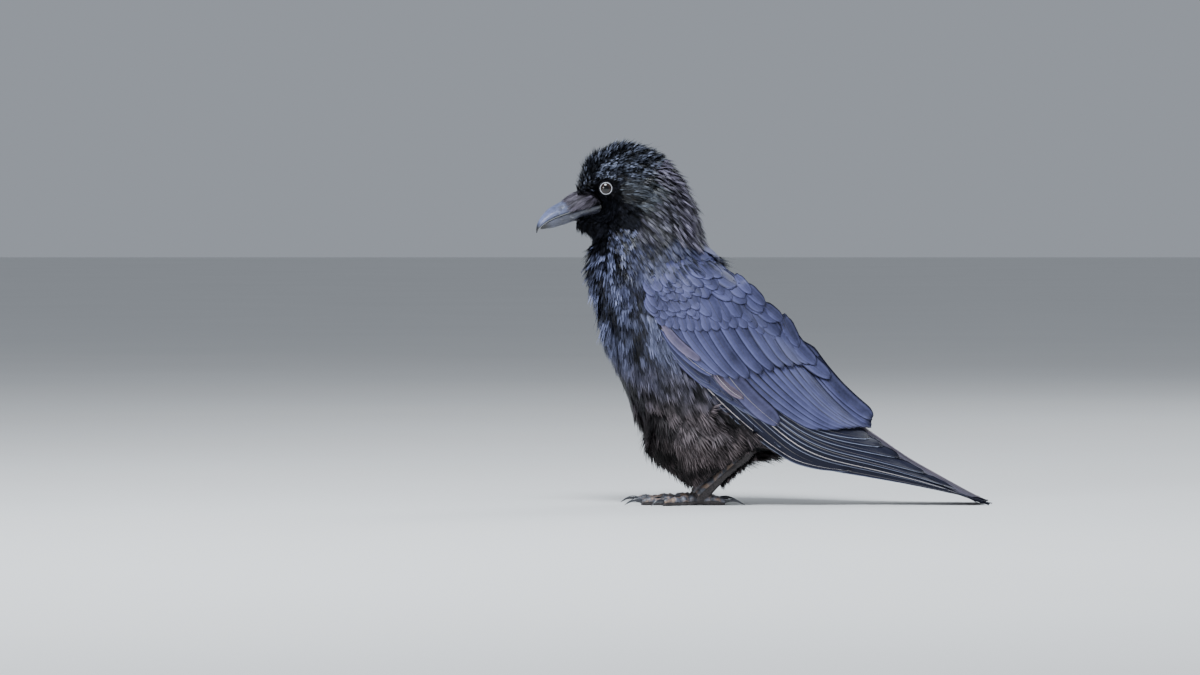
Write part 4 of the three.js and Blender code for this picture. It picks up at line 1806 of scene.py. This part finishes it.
def billHorn(name, bill):
    shade = Shade(name)
    dark, line, foot = bill["dark"], bill["line"], bill["foot"]
    along = shade.value("along")
    around = shade.value("around")
    mottle = shade.noise(140.0, 4.0)
    streak = shade.noise(60.0, 5.0, stretch=(1, 1, 6))
    grain = shade.noise(900.0, 2.0)
    band = around.ramp(line - 0.28, line - 0.16) * (1 - around.ramp(line - 0.02, line + 0.03))
    # lighter towards the tip, towards the pale tone of painted sheen
    tone = along * hornShares["along"] + mottle * hornShares["mottle"] - 0.15
    tone = (tone + (streak - 0.5) * hornShares["streak"] + band * hornShares["band"]).clamped()
    color = shade.mix(tone, dark, bill["pale"])
    # painted shade: darker towards the mouth, with a pale cutting edge and a painted shadow line in black
    # under it
    edge = (around - line).math("ABSOLUTE")
    shadow = (1 - edge.ramp(0.0, 0.36)) * along.ramp(0.1, 0.4)
    color = shade.mix(shadow * hornShares["shadow"], color, dark)
    rim = (1 - edge.ramp(0.015, 0.05)) * along.ramp(0.02, 0.12) * (1 - along.ramp(0.75, 0.9))
    color = shade.mix(rim * hornShares["rim"], color, hornTones["edge"])
    # worn patches and pale flakes towards its foot
    rear = 1 - along.ramp(0.25, 0.7)
    flakes = shade.noise(420.0, 5.0).ramp(0.6, 0.68)
    color = shade.mix(mottle.ramp(0.5, 0.62) * rear * 0.7, color, hornTones["patch"])
    color = shade.mix(flakes * rear * 0.45, color, hornTones["flake"])
    color = shade.mix(1 - along.ramp(foot * 0.5, foot), color, hornTones["black"])
    # a painted shadow line under the cutting edge, where the mandibles meet
    creaseShade = around.ramp(line + 0.06, line + 0.1) * (1 - around.ramp(line + 0.16, line + 0.2))
    color = shade.mix(creaseShade, color, hornTones["black"])
    return shade.set(
        {
            "Base Color": shade.mix(along.ramp(0.64, 0.86), color, hornTones["tip"]),
            "Roughness": 0.3 + (mottle - 0.5) * 0.3 + grain * 0.1,
            "Coat Weight": 0.35,
            "Normal": shade.bump(streak * 0.6 + grain * 0.4, 0.25, 0.0003),
        }
    )


nasal = {
    "coat": ("nasal", 0.8, 5),  # as in coats
    "length": 15.0,
    "shorter": 0.25,
    "least": 8.0,
    "stand": 4.0,
    "to": 0.17,  # where they end along the bill, and how far down its side
    "low": 0.60,
    "seed": 3,
}


def makeBill(plan):
    upper = billMesh("billUpper", upperBill)
    addPiece("nasalBristles", nasalBristles(upper, plan))
    addPiece("billUpper", upper, [billHorn("upperHorn", upperBill)], ["bill_upper"])
    lower = billMesh("billLower", lowerBill)
    addPiece("billLower", lower, [billHorn("lowerHorn", lowerBill)], ["bill_lower"])


def nasalBristles(upper, plan):
    # stiff bristles that lie forward over the nostrils, from the bill's foot
    ground = upper.copy()
    along = readData(ground.attributes["along"].data, "value")
    around = readData(ground.attributes["around"].data, "value")
    normals = normalsOf(ground)
    forward = np.tile((-0.86, 0, -0.42), (len(along), 1))
    forward[:, 2] -= 0.25 * (around > 0.2)
    lie = flatOn(normals, forward)
    roots = np.stack((along * 3, 0.5 + np.sign(normals[:, 1]) * around / 2), 1)
    size = nasal["length"] * (1 - nasal["shorter"] * along / nasal["to"])
    size = np.maximum(size, nasal["least"]) * mm
    tone = np.random.default_rng(nasal["seed"]).uniform(0, 1, len(along))
    layGround(ground, roots, lie, size, np.full(len(along), nasal["stand"]), tone)
    chosen = (along < nasal["to"]) & (around < nasal["low"] - 0.5 * along)
    mesh = coverWith("nasal", nasal["coat"], ground, chosen, plan, 7)
    bpy.data.meshes.remove(ground)
    return mesh


# The eyes and their lids

lids = {
    "turns": 72,
    "back": 100,  # degrees from straight out of the head, where the lids end under the skin
    "rimSteps": 9,
    "skinSteps": 8,
    "folds": 26,
    "fold": 0.05,
}
eyeTones = {
    "pupil": (0.001, 0.001, 0.001),
    "brownDark": (0.006, 0.003, 0.002),
    "brown": (0.026, 0.013, 0.008),
    "ring": (0.004, 0.004, 0.005),
}


def makeEyes():
    finish = eyeFinish()
    rim = lidFinish("lidRim", (0.20, 0.205, 0.23), (0.72, 0.73, 0.78), 0.5)
    outer = lidFinish("lidSkin", (0.002, 0.002, 0.003), (0.010, 0.010, 0.012), 0.12)
    for side, sign in sides.items():
        addPiece("eyeball_" + side, eyeMesh(sign), [finish], ["eye_" + side])
        addPiece("lids_" + side, lidMesh(sign), [rim, outer])


def turned(sign, radius, polar, turn):
    # a place on a ball round the eye's middle; polar is measured from straight out of the head
    flat = radius * math.sin(polar)
    return (
        eye["x"] + flat * math.cos(turn),
        sign * (eye["y"] + radius * math.cos(polar)),
        eye["z"] + flat * math.sin(turn),
    )


ball = {"rings": 30, "turns": 48, "pole": 0.05, "inside": 0.05}


def eyeMesh(sign):
    polars = np.linspace(ball["pole"], math.pi - ball["pole"], ball["rings"])
    turns = np.arange(ball["turns"]) * 2 * math.pi / ball["turns"]
    radius = eye["radius"] - ball["inside"]
    return loftMesh("eyeball", [[turned(sign, radius, p, t) for t in turns] for p in polars])


def lidMesh(sign):
    radius = eye["radius"]
    inner = math.asin(eye["opening"] / radius)
    rimEnd = math.asin(eye["rim"] / radius)
    back = math.radians(lids["back"])
    profile = []
    for share in np.linspace(0, 1, lids["rimSteps"]):
        swell = 0.34 * math.sin(math.pi * min(share * 1.1, 1)) ** 0.6 + 0.06
        profile.append((inner + (rimEnd - inner) * share, radius + swell))
    for share in np.linspace(0.12, 1, lids["skinSteps"]):
        swell = 0.12 + 0.35 * math.sin(math.pi * share) - 0.8 * share
        profile.append((rimEnd + (back - rimEnd) * share, radius + swell))
    profile += [(back, radius - 1.5), (inner, radius - 0.5)]
    points = []
    for turn in np.arange(lids["turns"]) * 2 * math.pi / lids["turns"]:
        fold = lids["fold"] * math.sin(turn * lids["folds"])
        points += [turned(sign, reach + fold, polar, turn) for polar, reach in profile]
    wide = len(profile)
    faces = []
    for first in range(0, len(points), wide):
        second = (first + wide) % len(points)
        for k in range(wide):
            after = (k + 1) % wide
            faces.append((first + k, first + after, second + after, second + k))
    mesh = meshFrom("lids", toFrame(points), faces)
    turnOut(mesh)
    skinFaces = [k >= lids["rimSteps"] - 1 for _ in range(lids["turns"]) for k in range(wide)]
    mesh.polygons.foreach_set("material_index", np.array(skinFaces, np.int32))
    return mesh


def eyeFinish():
    shade = Shade("eyeball")
    spots = shade.spots()
    middle = inFrame(eye["x"], 0, eye["z"])
    x = shade.axis(spots, 0) - middle.x
    z = shade.axis(spots, 2) - middle.z
    away = (x * x + z * z) ** 0.5 * (1 / mm)
    brown = shade.mix(shade.noise(900.0), eyeTones["brownDark"], eyeTones["brown"])
    color = shade.mix(away.ramp(eye["pupil"] - 0.2, eye["pupil"] + 0.2), eyeTones["pupil"], brown)
    return shade.set(
        {
            "Base Color": shade.mix(away.ramp(eye["iris"] - 0.4, eye["iris"]), color, eyeTones["ring"]),
            "Roughness": 0.12,
            "Specular IOR Level": 0.1,
            "Coat Weight": 0.9,
            "Coat Roughness": 0.02,
        }
    )


def lidFinish(name, dark, light, shine):
    shade = Shade(name)
    grain = shade.noise(1100.0)
    tone = (grain * 0.5 + shade.noise(260.0, 2.0) * 0.8 - 0.15).clamped()
    return shade.set(
        {
            "Base Color": shade.mix(tone, dark, light),
            "Roughness": 0.45,
            "Specular IOR Level": shine,
            "Normal": shade.bump(grain, 0.4),
        }
    )


# Legs and feet

leg = {
    "heel": (41, 44),
    "ankle": (-1, 6.2),
    "spread": 21,
    "rightAhead": 3,
    "toeHeight": 7.4,
    "toeStart": 3,
    "soleDepth": 0.66,
    "plates": 15,  # down the front of the shank
    "sections": (
        # share of the way down, half the depth, half the width
        (0, 5.2, 4.2),
        (0.12, 5.6, 4.4),
        (0.35, 4.3, 3.1),
        (0.7, 4.5, 3.1),
        (0.9, 5.4, 4.2),
        (1, 4.6, 4.4),
    ),
}
toes = {
    # turn from straight ahead in degrees, outwards positive; length, claw, joints, plates on top
    "middle": {"turn": 3, "length": 47, "claw": 14, "joints": 3, "plates": 17},
    "inner": {"turn": -27, "length": 30, "claw": 13, "joints": 2, "plates": 11},
    "outer": {"turn": 29, "length": 34, "claw": 11.5, "joints": 4, "plates": 13},
    "hind": {"turn": 176, "length": 21, "claw": 17, "joints": 1, "plates": 6},
}


def onFoot(sign, turn, reach, across, z):
    ahead = leg["rightAhead"] if sign > 0 else 0
    turn = math.radians(turn)
    headX, headY = -math.cos(turn), math.sin(turn) * sign
    x = leg["ankle"][0] - ahead + headX * reach - headY * across
    y = sign * leg["spread"] + headY * reach + headX * across
    return (x, y, z)


def toePlace(sign, toe, share, turn, rise):
    # a place over a toe, turned from straight up and raised from its skin
    pad = 1 + 0.13 * math.cos(2 * math.pi * share * toe["joints"] + math.pi)
    tall = leg["toeHeight"] / (1 + leg["soleDepth"]) * (1 - 0.28 * share) * pad
    reach = leg["toeStart"] + (toe["length"] - leg["toeStart"]) * share
    across = math.sin(turn) * (tall * 0.9 + rise)
    up = tall * leg["soleDepth"] + math.cos(turn) * (tall + rise)
    return onFoot(sign, toe["turn"], reach, across, up)


def shankPlace(sign, share, turn, rise):
    shares, depths, widths = zip(*leg["sections"])
    deep = np.interp(share, shares, depths) + rise
    wide = np.interp(share, shares, widths) + rise
    run = np.array(leg["ankle"], float) - leg["heel"]
    forward = np.array((run[1], -run[0])) / np.hypot(*run)
    ahead = leg["rightAhead"] if sign > 0 else 0
    spot = leg["heel"] + run * share + forward * math.cos(turn) * deep
    return (spot[0] - ahead, sign * (leg["spread"] + math.sin(turn) * wide), max(spot[1], 0.3))


claw = {
    "rings": 22,
    "turns": 16,
    "height": 3.6,
    "tip": 0.22,
    "rootAt": 2.4,  # the height of its middle, and how far it arches
    "tipAt": 0.25,
    "arch": 2.6,
    "inToe": 2.5,
    "longer": 1,
}


def clawMesh(sign, toe):
    rings = []
    for share in np.linspace(0, 1, claw["rings"]):
        tall = claw["height"] / 2 * (1 - share) ** 0.8 + claw["tip"]
        arch = claw["rootAt"] * (1 - share) + claw["arch"] * math.sin(math.pi * share)
        arch = max(arch + claw["tipAt"], tall)
        reach = toe["length"] - claw["inToe"] + (toe["claw"] + claw["longer"]) * share
        ring = []
        for angle in np.arange(claw["turns"]) * 2 * math.pi / claw["turns"]:
            rise = math.cos(angle)
            narrow = 0.72 * (0.85 + 0.25 * min(rise, 0))  # narrower underneath
            up = max(arch + rise * tall, 0.02)
            ring.append(onFoot(sign, toe["turn"], reach, math.sin(angle) * tall * narrow, up))
        rings.append(ring)
    return loftMesh("claw", rings)


plate = {
    "rows": 3,
    "columns": 8,
    "seed": 9,
    "toeSpan": 82,  # degrees to each side
    "toeThick": 0.42,
    "shankSpan": 74,
    "shankThick": 0.45,
}


def plateMesh():
    # the horny plates over the toes and down the front of the shank
    points = []
    faces = []
    own = []
    rng = random.Random(plate["seed"])

    def addPlate(place, span, thick):
        faces.extend(gridFaces(plate["rows"], plate["columns"], len(points)))
        own.extend([rng.uniform(0, 1)] * (plate["rows"] + 1) * (plate["columns"] + 1))
        for i in range(plate["rows"] + 1):
            along = i / plate["rows"]
            rise = thick * (0.15 + 0.85 * math.sin(math.pi * min(along * 0.8 + 0.12, 1)))
            for k in range(plate["columns"] + 1):
                across = k / plate["columns"] * 2 - 1
                points.append(place(along, across * math.radians(span), rise * (1 - across**4 * 0.8)))

    for sign in sides.values():
        for toe in toes.values():
            for i in range(toe["plates"]):

                def onToe(along, turn, rise):
                    share = (i + along * 1.12) / toe["plates"] * 0.96
                    return toePlace(sign, toe, share, turn, rise)

                addPlate(onToe, plate["toeSpan"], plate["toeThick"])
        for i in range(leg["plates"]):

            def onShank(along, turn, rise):
                share = 0.06 + (i + along * 1.15) / leg["plates"] * 0.92
                return shankPlace(sign, share, turn, rise)

            addPlate(onShank, plate["shankSpan"], plate["shankThick"])
    mesh = meshFrom("plates", toFrame(points), faces)
    storeData(mesh, "feather", own)
    turnOut(mesh)
    return mesh


footTones = {
    "plateDark": (0.014, 0.014, 0.017),
    "plate": (0.15, 0.155, 0.19),
    "dirt": (0.33, 0.22, 0.15),
    "clawDark": (0.006, 0.006, 0.008),
    "claw": (0.04, 0.042, 0.055),
}


def plateHorn():
    shade = Shade("plateHorn")
    grain = shade.noise(900.0, 2.0)
    tone = (shade.value("feather") * 0.6 + grain * 0.5 - 0.1).clamped()
    dusty = (shade.noise(170.0, 4.0).ramp(0.45, 0.62) * (0.5 + grain * 0.5)).clamped()
    color = shade.mix(tone, footTones["plateDark"], footTones["plate"])
    return shade.set(
        {
            "Base Color": shade.mix(dusty * 0.75, color, footTones["dirt"]),
            "Roughness": 0.42 + dusty * 0.3 + (grain - 0.5) * 0.2,
            "Normal": shade.bump(grain, 0.4),
        }
    )


def clawHorn():
    shade = Shade("clawHorn")
    grain = shade.noise(500.0)
    tone = (grain * 0.4 + shade.noise(90.0, 2.0) * 0.7 - 0.1).clamped()
    color = shade.mix(tone, footTones["clawDark"], footTones["claw"])
    return shade.set({"Base Color": color, "Roughness": 0.22 + grain * 0.15, "Coat Weight": 0.4})


def makeFeet():
    horn = clawHorn()
    for side, sign in sides.items():
        for name, toe in toes.items():
            node = f"claw_{name}_{side}"
            addPiece(node + "_horn", clawMesh(sign, toe), [horn], [node])
    addPiece("legPlates", plateMesh(), [plateHorn()])


def main():
    makeCamera()
    makeStudio()
    print("camera, floor and lights made")

    skinMesh, owners = makeSkin()
    print(f"skin: {len(skinMesh.vertices):,} points")
    plan = coatPlan()
    for kind, mesh in makeCoats(skinMesh, owners, plan).items():
        addPiece(kind + "Coat", mesh)
    makeWingsAndTail()
    makeBill(plan)
    makeEyes()
    makeFeet()
    storeData(skinMesh, "foot", np.isin(owners, ("tarsus", "toe")))
    addPiece("skin", skinMesh, [bareSkin()], fleshNodes())

    boxes = {"cad": cadBounds, "visual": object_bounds()}
    sizes = {name: [list(corner) for corner in box] for name, box in boxes.items()}


main()
